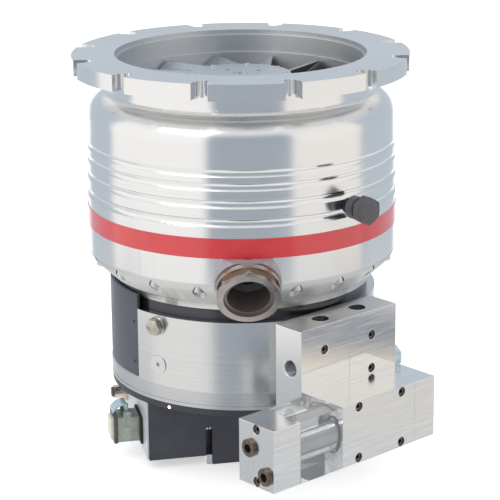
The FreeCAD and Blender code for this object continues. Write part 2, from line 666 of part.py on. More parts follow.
def vanes(label, foot, top, ring_foot, ring_top):
    """A stator wheel: an outer spacer ring with slanting vanes and a thin inner ring."""
    body = ring(label, D.vane_ring_bore, D.chamber_radius - D.ring_fit, ring_foot, ring_top)
    section = sketch(body, "XZ_Plane", D.blade_start)
    blade_section(section, -D.vane_lean, D.vane_width, foot, top)
    reach = D.vane_ring_bore + D.vane_inner_wall - D.blade_start
    polar(body, pad(body, section, reach), VANE_COUNT)
    inner = sketch(body, "XZ_Plane")
    rectangle(inner, D.vane_inner, foot, D.vane_inner + D.vane_inner_wall, top)
    revolve(body, inner)
    trim = sketch(body, "XZ_Plane")
    rectangle(trim, Size(0), foot, D.vane_inner, top)
    groove(body, trim)


def drag_stage():
    """Turning drag sleeve on its disc, and the fixed sleeve that it runs in."""
    drag_inner = D.drag_radius - D.drag_wall
    disc_foot = D.drag_disc_top - D.drag_disc_thickness
    bore = D.hub_radius + D.ring_fit
    turned("drag_sleeve", [
        (bore, disc_foot), (drag_inner, disc_foot), (drag_inner, D.drag_foot),
        (D.drag_radius, D.drag_foot), (D.drag_radius, D.drag_disc_top),
        (bore, D.drag_disc_top)])
    wall = D.drag_radius + D.drag_gap
    outside = D.chamber_radius - D.ring_fit
    turned("drag_stator", [
        (wall, D.drag_foot), (wall + D.drag_stator_wall, D.drag_foot),
        (wall + D.drag_stator_wall, D.stack_seat), (outside, D.stack_seat),
        (outside, D.stack_lower), (wall, D.stack_lower)])


def rotor_shaft():
    """Shaft with the motor magnet shrunk on between the bearings."""
    foot = D.floor_height - D.shaft_below
    turned("rotor_shaft", [
        (Size(0), foot), (D.shaft_radius, foot),
        (D.shaft_radius, D.magnet_foot), (D.shaft_magnet, D.magnet_foot),
        (D.shaft_magnet, D.magnet_top), (D.shaft_radius, D.magnet_top),
        (D.shaft_radius, D.stack_top), (Size(0), D.stack_top)])


def bearing_column():
    """Fixed column inside the rotor, with its bearings and motor winding."""
    inner = D.column_radius - D.column_wall
    flange_top = D.floor_height + D.column_flange_thickness
    turned("bearing_column", [
        (inner, D.column_foot), (D.shaft_opening - D.screw_fit, D.column_foot),
        (D.shaft_opening - D.screw_fit, D.floor_height), (D.column_flange, D.floor_height),
        (D.column_flange, flange_top), (D.column_radius, flange_top),
        (D.column_radius, D.column_top), (inner, D.column_top)])
    journal = D.shaft_radius + D.bearing_gap
    upper_top = D.column_top - D.upper_bearing_below
    lower_foot = D.column_foot + D.lower_bearing_above
    ring("upper_bearing", journal, inner, upper_top - D.upper_bearing_length, upper_top)
    ring("motor_winding", D.shaft_magnet + D.motor_gap, inner, D.magnet_foot, D.magnet_top)
    ring("lower_bearing", journal, inner, lower_foot, lower_foot + D.lower_bearing_length)


# Body under the casing

def flat_for_block(body, bottom, top):
    """Cut the flat that the valve block is screwed to."""
    flat = sketch(body, "XY_Plane", top, D.block_turn.value)
    rectangle(flat, -D.body_radius, -(D.body_radius + D.flat_reach), D.body_radius, -D.flat_reach)
    pocket(body, flat, top - bottom)


def cover_screw_turns():
    margin = D.cover_screw_turn.value
    return [D.cover_start.value - margin, D.cover_end.value + margin]


def cover_screw_heights():
    return [D.body_top - D.cover_screw_drop, D.body_foot + D.cover_screw_lift]


def cover_screw_holes(body, turned_by):
    """Holes for the cover's screws, in a body that its own placement turns by this much."""
    for turn in cover_screw_turns():
        holes = sketch(body, "XZ_Plane", D.body_radius, turn - turned_by)
        for height in cover_screw_heights():
            circle(holes, 0, height, D.cover_screw_shank + D.screw_fit)
        pocket(body, holes, D.cover_screw_length)


def pump_body():
    """Neck ring, pale body with its recess for the cover, and the ring under it."""
    ring("neck_ring", D.body_bore, D.neck_ring_radius, D.body_top, D.collar_foot)
    body = ring("base_housing", D.body_bore, D.body_radius, D.body_foot, D.body_top)
    recess = sketch(body, "XZ_Plane", 0, D.cover_end.value - 90)
    outside = D.body_radius + D.cover_wall
    rectangle(recess, D.cover_inner - D.cover_fit, D.body_foot + D.cover_edge, outside, D.body_top)
    groove(body, recess, D.cover_start.value - D.cover_end.value)
    cover_screw_holes(body, 0)
    flat_for_block(body, D.body_foot, D.body_top)
    for height, radius, depth in (
            (D.body_top - D.purge_drop, D.purge_shank + D.screw_fit, D.purge_shank_length),
            (D.body_foot + D.disc_lift, D.disc_radius + D.screw_fit, D.disc_depth)):
        hole = sketch(body, "XZ_Plane", D.body_radius, D.plug_turn.value)
        circle(hole, 0, height, radius)
        pocket(body, hole, depth)
    groove_foot = D.ring_foot + D.ring_groove_rise
    under = turned("base_ring", [
        (D.body_bore, D.ring_foot), (D.ring_radius, D.ring_foot),
        (D.ring_radius, groove_foot), (D.ring_radius - D.ring_groove_width, groove_foot),
        (D.ring_radius - D.ring_groove_width, groove_foot + D.ring_groove_width),
        (D.ring_radius, groove_foot + D.ring_groove_width), (D.ring_radius, D.body_foot),
        (D.body_bore, D.body_foot)])
    flat_for_block(under, D.ring_foot, D.body_foot)


def cover_panel():
    """Dark cover wrapped round the side of the body, with its screws."""
    body = new_body("cover_panel")
    profile = sketch(body, "XZ_Plane")
    rectangle(profile, D.cover_inner, D.body_foot + D.cover_edge + D.cover_fit,
              D.body_radius, D.collar_foot + D.cover_over)
    revolve(body, profile, "Revolution", D.cover_start.value - D.cover_end.value)
    turned_by = D.cover_end.value - 90
    cover_screw_holes(body, turned_by)
    body.Placement = about_axis(turned_by)
    master = screw("cover_screw", D.cover_screw_head, D.cover_screw_rise,
                   D.cover_screw_shank, D.cover_screw_length)
    lift = Placement(Vector(0, 0, D.body_radius.value), Rotation())
    group("cover_screws", master, [
        facing_out(turn, height).multiply(lift)
        for turn in cover_screw_turns() for height in cover_screw_heights()])


def plugs():
    """Sealed gas inlet plug and the flat disc under it, on the pale body."""
    zero = Size(0)
    purge = turned("purge_plug", [
        (zero, -D.purge_shank_length), (D.purge_shank, -D.purge_shank_length),
        (D.purge_shank, zero), (D.purge_collar, zero),
        (D.purge_collar, D.purge_collar_length), (zero, D.purge_collar_length)])
    head = sketch(purge, "XY_Plane", D.purge_collar_length)
    hexagon(head, 0, 0, D.purge_flats)
    pad(purge, head, D.purge_head)
    disc = turned("seal_disc", [
        (zero, -D.disc_depth), (D.disc_radius, -D.disc_depth), (D.disc_radius, D.disc_rise),
        (D.disc_hole, D.disc_rise), (D.disc_hole, D.disc_rise - D.disc_hole_depth),
        (zero, D.disc_rise - D.disc_hole_depth)])
    for body, height in ((purge, D.body_top - D.purge_drop), (disc, D.body_foot + D.disc_lift)):
        place = facing_out(D.plug_turn.value, height)
        body.Placement = place.multiply(Placement(Vector(0, 0, D.body_radius.value), Rotation()))


# Drive electronics

def drive_place(body):
    body.Placement = about_axis(D.drive_turn.value)


def drive_housing():
    """Round lid and square housing of the electronics, with a slot for the earth foot."""
    lid = ring("drive_lid", 0, D.body_radius, D.drive_height, D.ring_foot)
    flat_for_block(lid, D.drive_height, D.ring_foot)
    light_height = D.drive_height - D.light_drop
    body = new_body("drive_housing")
    face = sketch(body, "XZ_Plane", D.drive_front)
    outline(face, [
        (-D.drive_left, D.drive_foot), (-D.slot_left, D.drive_foot), (-D.slot_left, D.slot_top),
        (-D.slot_right, D.slot_top), (-D.slot_right, Size(0)), (D.drive_right, Size(0)),
        (D.drive_right, D.drive_height), (-D.drive_left, D.drive_height)])
    pad(body, face, D.slot_depth, True)
    back = sketch(body, "XZ_Plane", D.drive_front - D.slot_depth)
    outline(back, [
        (-D.drive_left, D.drive_foot), (-D.slot_right, D.drive_foot), (-D.slot_right, Size(0)),
        (D.drive_right, Size(0)), (D.drive_right, D.drive_height),
        (-D.drive_left, D.drive_height)])
    pad(body, back, D.drive_front + D.drive_back - D.slot_depth, True)
    screws = sketch(body, "XZ_Plane", D.drive_front - D.slot_depth)
    for side in (-0.5, 0.5):
        circle(screws, D.slot_screw_pitch * side - D.slot_middle, D.slot_top - D.slot_screw_drop,
               D.slot_screw_shank + D.screw_fit)
    pocket(body, screws, D.slot_screw_length)
    lamp = sketch(body, "XZ_Plane", D.drive_front)
    circle(lamp, -D.light_along, light_height, D.light_radius + D.screw_fit)
    pocket(body, lamp, D.light_depth)
    drive_place(body)
    light = turned("status_light", [
        (Size(0), -D.light_depth), (D.light_radius, -D.light_depth),
        (D.light_radius, D.light_rise), (Size(0), D.light_rise)])
    front = Placement(Vector(-D.light_along.value, -D.drive_front.value, light_height.value),
                      Rotation(Vector(1, 0, 0), 90))
    light.Placement = about_axis(D.drive_turn.value).multiply(front)


def earth_foot():
    """Zinc foot at the bottom of the slot."""
    half = D.foot_width * 0.5
    foot = block("earth_foot", -(D.slot_middle + half), half - D.slot_middle,
                 D.drive_front - D.slot_depth, D.drive_front - D.screw_fit, Size(0), D.foot_top)
    drive_place(foot)


def slot_screws():
    """Two small screws side by side at the top of the slot."""
    master = screw("slot_screw", D.slot_screw, D.slot_screw_rise, D.slot_screw_shank,
                   D.slot_screw_length)
    height = D.slot_top - D.slot_screw_drop
    seats = []
    for side in (-0.5, 0.5):
        along = D.slot_screw_pitch * side - D.slot_middle
        base = Vector(along.value, (D.slot_depth - D.drive_front).value, height.value)
        seats.append(about_axis(D.drive_turn.value).multiply(
            Placement(base, Rotation(Vector(1, 0, 0), 90))))
    group("slot_screws", master, seats)


def connector_plate():
    """Pale plate on the left end of the housing that carries the connectors."""
    body = block("connector_plate", -(D.drive_left + D.plate_thickness), -D.drive_left,
                 D.plate_margin - D.drive_back, D.drive_front - D.plate_margin,
                 D.drive_foot + D.plate_margin, D.drive_height)
    drive_place(body)


def on_plate(along, height, reach):
    """A frame on the left end of the housing whose Z points out of the plate."""
    base = Vector(-reach.value, -along.value, height.value)
    return about_axis(D.drive_turn.value).multiply(
        Placement(base, Rotation(Vector(0, 1, 0), -90)))


def power_connector():
    """Square connector: gasket, shell with two ears, lip, insert and side screw."""
    plate = D.drive_left + D.plate_thickness
    start = D.gasket_thickness
    end = start + D.shell_length
    wide, tall = D.shell_width * 0.5, D.shell_tall * 0.5
    inner_wide, inner_tall = wide - D.shell_wall, tall - D.shell_wall
    pin_up, pin_out = tall + D.lever_height, start + D.ear_start + D.ear_length * 0.5

    gasket = new_body("power_gasket")
    face = sketch(gasket, "XY_Plane")
    half_wide, half_tall = D.gasket_width * 0.5, D.gasket_tall * 0.5
    rectangle(face, -half_tall, -half_wide, half_tall, half_wide)
    pad(gasket, face, D.gasket_thickness)

    shell = new_body("power_shell")
    face = sketch(shell, "XY_Plane", start)
    rectangle(face, -tall, -wide, tall, wide)
    pad(shell, face, D.shell_length)
    for near, far in ((wide - D.ear_thickness, wide), (-wide, D.ear_thickness - wide)):
        ear = sketch(shell, "XY_Plane", start + D.ear_start)
        rectangle(ear, tall, near, tall + D.ear_rise, far)
        pad(shell, ear, D.ear_length)
    pivot = sketch(shell, "XZ_Plane", wide)
    circle(pivot, pin_up, pin_out, D.lever_pin + D.lever_fit)
    pocket(shell, pivot, D.shell_width)
    inside = sketch(shell, "XY_Plane", end)
    rectangle(inside, -inner_tall, -inner_wide, inner_tall, inner_wide)
    pocket(shell, inside, D.insert_depth)
    side = sketch(shell, "XZ_Plane", wide)
    circle(side, 0, start + D.side_screw_out, D.side_screw_shank + D.screw_fit)
    pocket(shell, side, D.shell_wall)

    lip = new_body("power_lip")
    face = sketch(lip, "XY_Plane", end)
    half_lip = D.lip_width * 0.5
    rectangle(face, -half_lip, -half_lip, half_lip, half_lip)
    rectangle(face, -inner_tall, -inner_wide, inner_tall, inner_wide)
    pad(lip, face, D.lip_thickness)

    insert = new_body("power_insert")
    face = sketch(insert, "XY_Plane", end - D.insert_depth)
    rectangle(face, D.screw_fit - inner_tall, D.screw_fit - inner_wide,
              inner_tall - D.screw_fit, inner_wide - D.screw_fit)
    pad(insert, face, D.insert_depth + D.insert_rise)

    place = on_plate(D.power_along, D.power_height, plate)
    for body in (gasket, shell, lip, insert):
        body.Placement = place
    side_screw = screw("power_screw", D.side_screw, D.side_screw_rise, D.side_screw_shank,
                       D.shell_wall)
    side_base = Vector(0, -wide.value, (start + D.side_screw_out).value)
    side_screw.Placement = place.multiply(Placement(side_base, Rotation(Vector(1, 0, 0), 90)))


def power_lever():
    """Bent locking lever that swings on its own pin between the ears of the shell."""
    tall, wide = D.shell_tall * 0.5, D.shell_width * 0.5
    pin_up = tall + D.lever_height
    pin_out = D.gasket_thickness + D.ear_start + D.ear_length * 0.5
    body = new_body("power_lever")
    pivot = sketch(body, "XZ_Plane", wide)
    circle(pivot, pin_up, pin_out, D.lever_pin)
    pad(body, pivot, D.shell_width, True)
    strap = sketch(body, "XZ_Plane", D.lever_width * 0.5)
    top, tip = pin_up + D.lever_rise, pin_out + D.lever_reach
    thin = D.lever_thickness
    outline(strap, [
        (pin_up, pin_out - D.lever_pin), (top, pin_out, D.lever_bend),
        (pin_up + thin, tip), (pin_up, tip - thin * 0.5, thin - D.lever_bend),
        (top - thin, pin_out + thin), (pin_up, pin_out + D.lever_pin)])
    pad(body, strap, D.lever_width, True)
    body.Placement = on_plate(D.power_along, D.power_height, D.drive_left + D.plate_thickness)


def signal_connector():
    """Round connector: six-sided foot and barrel, with a dark insert."""
    foot = D.signal_hexagon_length
    end = foot + D.signal_length
    shell = ring("signal_shell", D.signal_bore, D.signal_radius, foot, end)
    face = sketch(shell, "XY_Plane")
    hexagon(face, 0, 0, D.signal_hexagon)
    circle(face, 0, 0, D.signal_bore)
    pad(shell, face, foot)
    insert = ring("signal_insert", 0, D.signal_bore - D.screw_fit, 0, end + D.signal_insert_rise)
    for body in (shell, insert):
        body.Placement = on_plate(-D.signal_along, D.signal_height,
                                  D.drive_left + D.plate_thickness)


# Valve block

def in_block(along, out, height, turn):
    """A frame in the valve block, with its Z turned to face out of one of its sides."""
    base = Vector(along.value, -out.value, height.value)
    return about_axis(D.block_turn.value).multiply(Placement(base, turn))


FORWARD = Rotation(Vector(1, 0, 0), 90)
LEFTWARD = Rotation(Vector(0, 1, 0), -90)
RIGHTWARD = Rotation(Vector(0, 1, 0), 90)


def screw_holes(body, plane, face, inward, places, backwards):
    """Counterbores and screw holes in one face of a block."""
    for start, depth, radius in (
            (face, D.block_bore_depth, D.block_bore),
            (face + D.block_bore_depth * inward, D.block_shank_length,
             D.block_shank + D.screw_fit)):
        holes = sketch(body, plane, start)
        for x, y in places:
            circle(holes, x, y, radius)
        pocket(body, holes, depth, backwards)


def block_screws(label, placements):
    """Socket screws of the valve block, sunk in their counterbores."""
    master = screw(label + "_master", D.block_head, D.block_head_length, D.block_shank,
                   D.block_shank_length)
    socket = sketch(master, "XY_Plane", D.block_head_length)
    hexagon(socket, 0, 0, D.block_socket)
    pocket(master, socket, D.block_socket_depth)
    group(label, master, placements)


def uprights():
    """The two upright blocks on the flat of the body, with their threaded ports."""
    foot = D.ring_foot - D.upright_hang
    left = block("upright_left", -D.upright_left, -D.upright_seam, D.flat_reach,
                 D.upright_front, foot, D.upright_top)
    right = block("upright_right", -D.upright_seam, D.upright_right, D.flat_reach,
                  D.upright_front, foot, D.upright_top)
    for body, port in ((left, -D.top_port_left), (right, D.top_port_right)):
        top = sketch(body, "XY_Plane", D.upright_top)
        circle(top, port, -D.upright_middle, D.thread_radius)
        pocket(body, top, D.thread_depth)
    side = sketch(left, "YZ_Plane", -D.upright_left)
    circle(side, -(D.flat_reach + D.side_port_in), D.upright_top - D.side_port_drop,
           D.thread_radius)
    pocket(left, side, D.thread_depth, True)
    seat = sketch(right, "YZ_Plane", D.upright_right)
    circle(seat, -(D.flat_reach + D.fitting_in), D.bar_top + D.fitting_lift,
           D.fitting_shank + D.screw_fit)
    pocket(right, seat, D.fitting_shank_length)
    screw_high = D.upright_top - D.upright_screw_drop
    left_places = [(-D.upright_screw_left, screw_high)]
    right_places = [(D.upright_screw_right, screw_high),
                    (D.upright_screw_right, D.bar_top + D.upright_screw_lift)]
    for body, places in ((left, left_places), (right, right_places)):
        screw_holes(body, "XZ_Plane", D.upright_front, -1, places, False)
        body.Placement = about_axis(D.block_turn.value)
    seat_out = D.upright_front - D.block_bore_depth
    block_screws("upright_screws", [
        in_block(x, seat_out, height, FORWARD) for x, height in left_places + right_places])


def bar():
    """The long bar across the uprights: end blocks, main block and their screws."""
    back, front = D.upright_front, D.bar_front
    left = block("left_end_block", -D.bar_left, -D.sight_left, back, front,
                 D.bar_foot, D.bar_top)
    main = block("main_block", -D.sight_right, D.bar_joint, back, front, D.bar_foot, D.bar_top)
    right = block("right_end_block", D.bar_joint, D.bar_right, back, front,
                  D.bar_foot, D.bar_top)
    seat_depth = D.sight_seal_wire * 2
    for body, face, backwards in ((left, -D.sight_left, False), (main, -D.sight_right, True)):
        recess = sketch(body, "YZ_Plane", face)
        circle(recess, -D.bar_middle, D.sight_height, D.sight_bore)
        pocket(body, recess, seat_depth, backwards)
    plug_places = [(-(D.upright_front + D.end_plug_in), D.bar_top - D.end_plug_drop),
                   (D.end_plug_edge - D.bar_front, D.bar_foot + D.end_plug_lift)]
    plug_holes = sketch(left, "YZ_Plane", -D.bar_left)
    for x, y in plug_places:
        circle(plug_holes, x, y, D.end_plug_shank + D.screw_fit)
    pocket(left, plug_holes, D.end_plug_length, True)
    end_places = [(-D.bar_middle, D.screw_row_high), (-D.bar_middle, D.screw_row_low)]
    screw_holes(left, "YZ_Plane", -D.bar_left, 1, end_places, True)
    main_places = [(x, height) for x in (-D.main_screw_left, D.main_screw_right)
                   for height in (D.screw_row_high, D.screw_row_low)]
    screw_holes(main, "XZ_Plane", front, -1, main_places, False)
    for body in (left, main, right):
        body.Placement = about_axis(D.block_turn.value)
    block_screws("main_screws", [
        in_block(x, front - D.block_bore_depth, height, FORWARD) for x, height in main_places])
    block_screws("end_screws", [
        in_block(D.block_bore_depth - D.bar_left, -y, height, LEFTWARD)
        for y, height in end_places])

    zero = Size(0)
    plug = turned("end_plug", [
        (zero, -D.end_plug_length), (D.end_plug_shank, -D.end_plug_length),
        (D.end_plug_shank, zero), (D.end_plug_collar, zero),
        (D.end_plug_collar, D.end_plug_rise), (zero, D.end_plug_rise)])
    socket = sketch(plug, "XY_Plane", D.end_plug_rise)
    hexagon(socket, 0, 0, D.end_plug_socket)
    pocket(plug, socket, D.end_plug_socket_depth)
    group("end_plugs", plug, [
        in_block(-D.bar_left, -y, height, LEFTWARD) for y, height in plug_places])


def sight_glass():
    """Clear block with a glass tube in it and a sealing ring at each end."""
    body = block("sight_block", -D.sight_left, -D.sight_right, D.upright_front, D.bar_front,
                 D.bar_foot, D.bar_top)
    length = D.sight_left - D.sight_right
    bore = sketch(body, "YZ_Plane", -D.sight_right)
    circle(bore, -D.bar_middle, D.sight_height, D.sight_bore)
    pocket(body, bore, length)
    body.Placement = about_axis(D.block_turn.value)
    tube = ring("sight_tube", D.sight_tube - D.sight_tube_wall, D.sight_tube, 0, length)
    tube.Placement = in_block(-D.sight_left, D.bar_middle, D.sight_height, RIGHTWARD)
    master = seal("sight_seal", D.sight_tube - D.sight_seal_wire, 0, D.sight_seal_wire)
    wire = D.sight_seal_wire
    group("sight_seals", master, [
        in_block(along, D.bar_middle, D.sight_height, RIGHTWARD)
        for along in (-(D.sight_left + wire), wire - D.sight_right)])


def side_fitting():
    """Plated six-sided fitting on the right of the block."""
    zero = Size(0)
    body = turned("side_fitting", [
        (zero, -D.fitting_shank_length), (D.fitting_shank, -D.fitting_shank_length),
        (D.fitting_shank, zero), (D.fitting_collar, zero),
        (D.fitting_collar, D.fitting_collar_length), (zero, D.fitting_collar_length)])
    head = sketch(body, "XY_Plane", D.fitting_collar_length)
    hexagon(head, 0, 0, D.fitting_flats)
    pad(body, head, D.fitting_length)
    body.Placement = in_block(D.upright_right, D.flat_reach + D.fitting_in,
                              D.bar_top + D.fitting_lift, RIGHTWARD)


for make in (inlet_casing, lower_housing, casing_screws, colour_band, vent_screw,
             foreline_flange, foreline_collar, rotor_hub, rotor_cap, drag_stage, rotor_shaft,
             bearing_column, pump_body, cover_panel, plugs, drive_housing, earth_foot,
             slot_screws, connector_plate, power_connector, power_lever, signal_connector,
             uprights, bar, sight_glass, side_fitting):
    make()
wheel("rotor_wheel_one", D.stack_top + D.wheel_gap, D.cap_top - D.cap_thickness,
      D.blade_one_lean, D.blade_one_width, BLADE_COUNT_ONE)
for label, seat in (("rotor_wheel_two", D.stack_middle), ("rotor_wheel_three", D.stack_lower)):
    wheel(label, seat + D.wheel_gap, seat + D.wheel_gap + D.wheel_height, D.blade_two_lean,
          D.blade_two_width, BLADE_COUNT_TWO)
for label, roof in (("stator_vanes_one", D.stack_top), ("stator_vanes_two", D.stack_middle)):
    vane_top = roof - D.vane_sink
    vanes(label, vane_top - D.vane_height, vane_top, roof - D.stage_pitch, roof)

doc.recompute()
for item in doc.Objects:
    if "Invalid" in item.State or "Error" in item.State:
        raise RuntimeError(f"{item.Name} failed: {item.State}")
    if item.TypeId in ("PartDesign::Pocket", "PartDesign::Groove"):
        if item.BaseFeature.Shape.Volume - item.Shape.Volume < 0.1:
            raise RuntimeError(f"{item.Name} cuts nothing")
for label, item in NODES.items():
    if item.Shape.isNull() or not item.Shape.isValid():
        raise RuntimeError(f"{label} has no valid shape")
    if item.TypeId == "PartDesign::Body" and len(item.Shape.Solids) != 1:
        raise RuntimeError(f"{label} is not one solid")

os.makedirs("parts", exist_ok=True)
for label, item in NODES.items():
    item.Shape.exportStep(f"parts/{label}.step")
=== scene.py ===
import json
import math

import bmesh
import bpy
from mathutils import Matrix, Vector

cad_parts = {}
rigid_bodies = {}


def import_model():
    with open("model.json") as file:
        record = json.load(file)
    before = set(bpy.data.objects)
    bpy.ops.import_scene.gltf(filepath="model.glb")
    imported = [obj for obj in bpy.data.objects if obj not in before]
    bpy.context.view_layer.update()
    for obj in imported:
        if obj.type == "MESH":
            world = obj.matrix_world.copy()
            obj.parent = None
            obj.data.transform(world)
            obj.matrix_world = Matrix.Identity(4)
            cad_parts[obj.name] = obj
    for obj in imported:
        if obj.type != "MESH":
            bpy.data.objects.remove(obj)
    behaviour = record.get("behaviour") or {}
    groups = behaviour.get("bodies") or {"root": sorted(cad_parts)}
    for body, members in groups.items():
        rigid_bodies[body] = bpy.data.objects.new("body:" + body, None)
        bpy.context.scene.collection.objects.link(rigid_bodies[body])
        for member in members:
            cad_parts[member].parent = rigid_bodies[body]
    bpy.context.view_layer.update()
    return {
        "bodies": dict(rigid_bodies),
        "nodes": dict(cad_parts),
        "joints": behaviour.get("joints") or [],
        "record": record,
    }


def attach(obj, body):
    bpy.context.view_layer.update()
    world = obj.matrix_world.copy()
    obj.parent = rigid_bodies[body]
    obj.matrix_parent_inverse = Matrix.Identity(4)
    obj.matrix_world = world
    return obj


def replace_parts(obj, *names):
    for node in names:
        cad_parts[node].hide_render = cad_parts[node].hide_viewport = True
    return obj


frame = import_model()
nodes = frame["nodes"]

# Camera
# The picture was taken with a long lens, a little above the flange and nearly square to
# the foreline port.

camera_place = Vector((-0.0609, -1.8790, 0.7529))
camera_yaw = math.radians(2.093)
camera_pitch = math.radians(16.372)
camera_roll = math.radians(0.476)
look = Vector((math.sin(camera_yaw) * math.cos(camera_pitch),
               math.cos(camera_yaw) * math.cos(camera_pitch),
               -math.sin(camera_pitch)))
level = Vector((math.cos(camera_yaw), -math.sin(camera_yaw), 0))
right = Matrix.Rotation(camera_roll, 3, look) @ level
up = right.cross(look)
lens = bpy.data.cameras.new("camera")
lens.sensor_width = 36
lens.lens = 138.24
lens.clip_end = 50
camera = bpy.data.objects.new("camera", lens)
camera.matrix_world = Matrix.Translation(camera_place) @ Matrix(
    (right, up, -look)).transposed().to_4x4()
bpy.context.scene.collection.objects.link(camera)
bpy.context.scene.camera = camera
bpy.context.scene.view_settings.view_transform = "Standard"

# Studio
# Two tall soft boxes stand left and right of a pale sweep, with the darker room behind
# the camera between them. The room is the world, so it lights and is mirrored alike.


def linear(code):
    """An sRGB hex colour as the linear colour that a shader takes."""
    parts = [int(code[i:i + 2], 16) / 255 for i in (1, 3, 5)]
    return [p / 12.92 if p <= 0.04045 else ((p + 0.055) / 1.055) ** 2.4 for p in parts] + [1]


def add(tree, kind, inputs=None, **settings):
    """Add a node with its settings. An input is a value, or an output to link."""
    node = tree.nodes.new(kind)
    for name, value in settings.items():
        setattr(node, name, value)
    for socket, value in (inputs or {}).items():
        if isinstance(value, bpy.types.NodeSocket):
            tree.links.new(value, node.inputs[socket])
        else:
            node.inputs[socket].default_value = value
    return node


def stops(ramp, places):
    """Set a colour ramp's stops from pairs of position and colour."""
    while len(ramp.color_ramp.elements) < len(places):
        ramp.color_ramp.elements.new(0.5)
    for element, (position, colour) in zip(ramp.color_ramp.elements, places):
        element.position = position
        element.color = colour


world = bpy.data.worlds.new("studio")
bpy.context.scene.world = world
world.use_nodes = True
tree = world.node_tree
tree.nodes.clear()
direction = add(tree, "ShaderNodeSeparateXYZ", {
    0: add(tree, "ShaderNodeTexCoord").outputs["Generated"]})
backwards = add(tree, "ShaderNodeMath", {0: direction.outputs["Y"], 1: -1.0},
                operation="MULTIPLY")
azimuth = add(tree, "ShaderNodeMath", {0: direction.outputs["X"], 1: backwards.outputs[0]},
              operation="ARCTAN2")
around = add(tree, "ShaderNodeMapRange", {
    0: azimuth.outputs[0], 1: -math.pi, 2: math.pi, 3: 0.0, 4: 1.0})
room, left_box, right_box = "#9FA7B1", "#F9F7F5", "#F0ECE7"
sweep, dusk = "#FFFFFF", "#B7C0C9"
boxes = [(-109, left_box), (-30, left_box), (-25, room), (33, room), (38, right_box),
         (93, right_box)]
# Each layer of the room: the sine of its height where it starts and where it is reached,
# and the colours round it by turn.
layers = [
    (1.0, 1.0, [(-180, "#E4E7EA"), (180, "#E4E7EA")]),
    (0.75, 0.45, [(-180, dusk), (-116, dusk), *boxes, (100, dusk), (180, dusk)]),
    (0.0, -0.12, [(-180, sweep), (-158, sweep), (-152, dusk), (-116, dusk), *boxes,
                  (100, dusk), (152, dusk), (158, sweep), (180, sweep)]),
    (-0.305, -0.313, [(-180, sweep), (-158, sweep), (-152, dusk), (-116, dusk),
                      (-109, "#E1E2E3"), (-30, "#E4E4E4"), (-25, room), (20, room),
                      (28, "#C3C8CC"), (66, "#C3C8CC"), (74, "#425B76"), (100, "#425B76"),
                      (112, dusk), (152, dusk), (158, sweep), (180, sweep)]),
    (-0.329, -0.339, [(-180, "#F2F2F2"), (-109, "#C2C6CA"), (-98, "#ABB0B5"), (-92, "#B2B7BC"),
                      (-84, "#E4E4E4"), (-30, "#E4E4E4"),
                      (-25, "#A3ABB3"), (20, "#A3ABB3"), (30, "#CFCFCF"), (66, "#E0DCD7"),
                      (76, "#FFF1DC"), (110, "#F6E9D8"), (180, "#F2F2F2")]),
    (-0.355, -0.366, [(-180, "#F2F2F2"), (-109, "#C2C6CA"), (-98, "#ABB0B5"), (-92, "#B2B7BC"),
                      (-84, "#E4E4E4"), (-30, "#E4E4E4"), (-25, "#A3ABB3"),
                      (20, "#A3ABB3"), (30, "#CFCFCF"), (66, "#BAC0C6"),
                      (76, "#BBC1C8"), (110, "#CCD1D5"), (180, "#F2F2F2")]),
    (-0.45, -0.6, [(-180, "#F3F3F2"), (180, "#F3F3F2")])]
view = None
for start, full, places in layers:
    layer = add(tree, "ShaderNodeValToRGB", {0: around.outputs[0]})
    stops(layer, [((turn + 180) / 360, linear(colour)) for turn, colour in places])
    if view is None:
        view = layer.outputs[0]
        continue
    reached = add(tree, "ShaderNodeMapRange", {0: direction.outputs["Z"], 1: start, 2: full})
    view = add(tree, "ShaderNodeMix", {0: reached.outputs[0], 6: view, 7: layer.outputs[0]},
               data_type="RGBA").outputs[2]
seen = add(tree, "ShaderNodeLightPath").outputs["Is Camera Ray"]
shown = add(tree, "ShaderNodeMix", {
    0: seen, 6: view, 7: linear("#FFFFFF")}, data_type="RGBA")
glow = add(tree, "ShaderNodeBackground", {"Color": shown.outputs[2], "Strength": 1.24})
add(tree, "ShaderNodeOutputWorld", {0: glow.outputs[0]})

key = bpy.data.lights.new("key", "AREA")
key.shape = "RECTANGLE"
key.size = 1.6
key.size_y = 1.2
key.energy = 7
key_lamp = bpy.data.objects.new("key", key)
key_lamp.location = (-1.3, -1.1, 2.1)
key_lamp.rotation_euler = (Vector((0, 0, 0.2)) - key_lamp.location).to_track_quat(
    "-Z", "Y").to_euler()
bpy.context.scene.collection.objects.link(key_lamp)

# Floor
# A pale matt sheet. Seen straight from the camera it is white, and it keeps the shadow.

floor_mesh = bpy.data.meshes.new("floor")
floor_mesh.from_pydata([(-12, -12, 0), (12, -12, 0), (12, 12, 0), (-12, 12, 0)], [],
                       [(0, 1, 2, 3)])
floor = bpy.data.objects.new("floor", floor_mesh)
bpy.context.scene.collection.objects.link(floor)
paper = bpy.data.materials.new("matt_paper")
paper.use_nodes = True
tree = paper.node_tree
shader = tree.nodes["Principled BSDF"]
shader.inputs["Base Color"].default_value = linear("#F2F2F2")
shader.inputs["Roughness"].default_value = 0.9
seen = add(tree, "ShaderNodeLightPath").outputs["Is Camera Ray"]
lift = add(tree, "ShaderNodeMath", {0: seen, 1: 0.5}, operation="MULTIPLY")
shader.inputs["Emission Color"].default_value = linear("#FFFFFF")
tree.links.new(lift.outputs[0], shader.inputs["Emission Strength"])
floor_mesh.materials.append(paper)
floor.visible_glossy = False

# Casing
# The upper half is one turned aluminium piece with the slotted inlet flange. The lower
# half is turned too, with a pocket cut for each screw. Fine tool marks run round both.


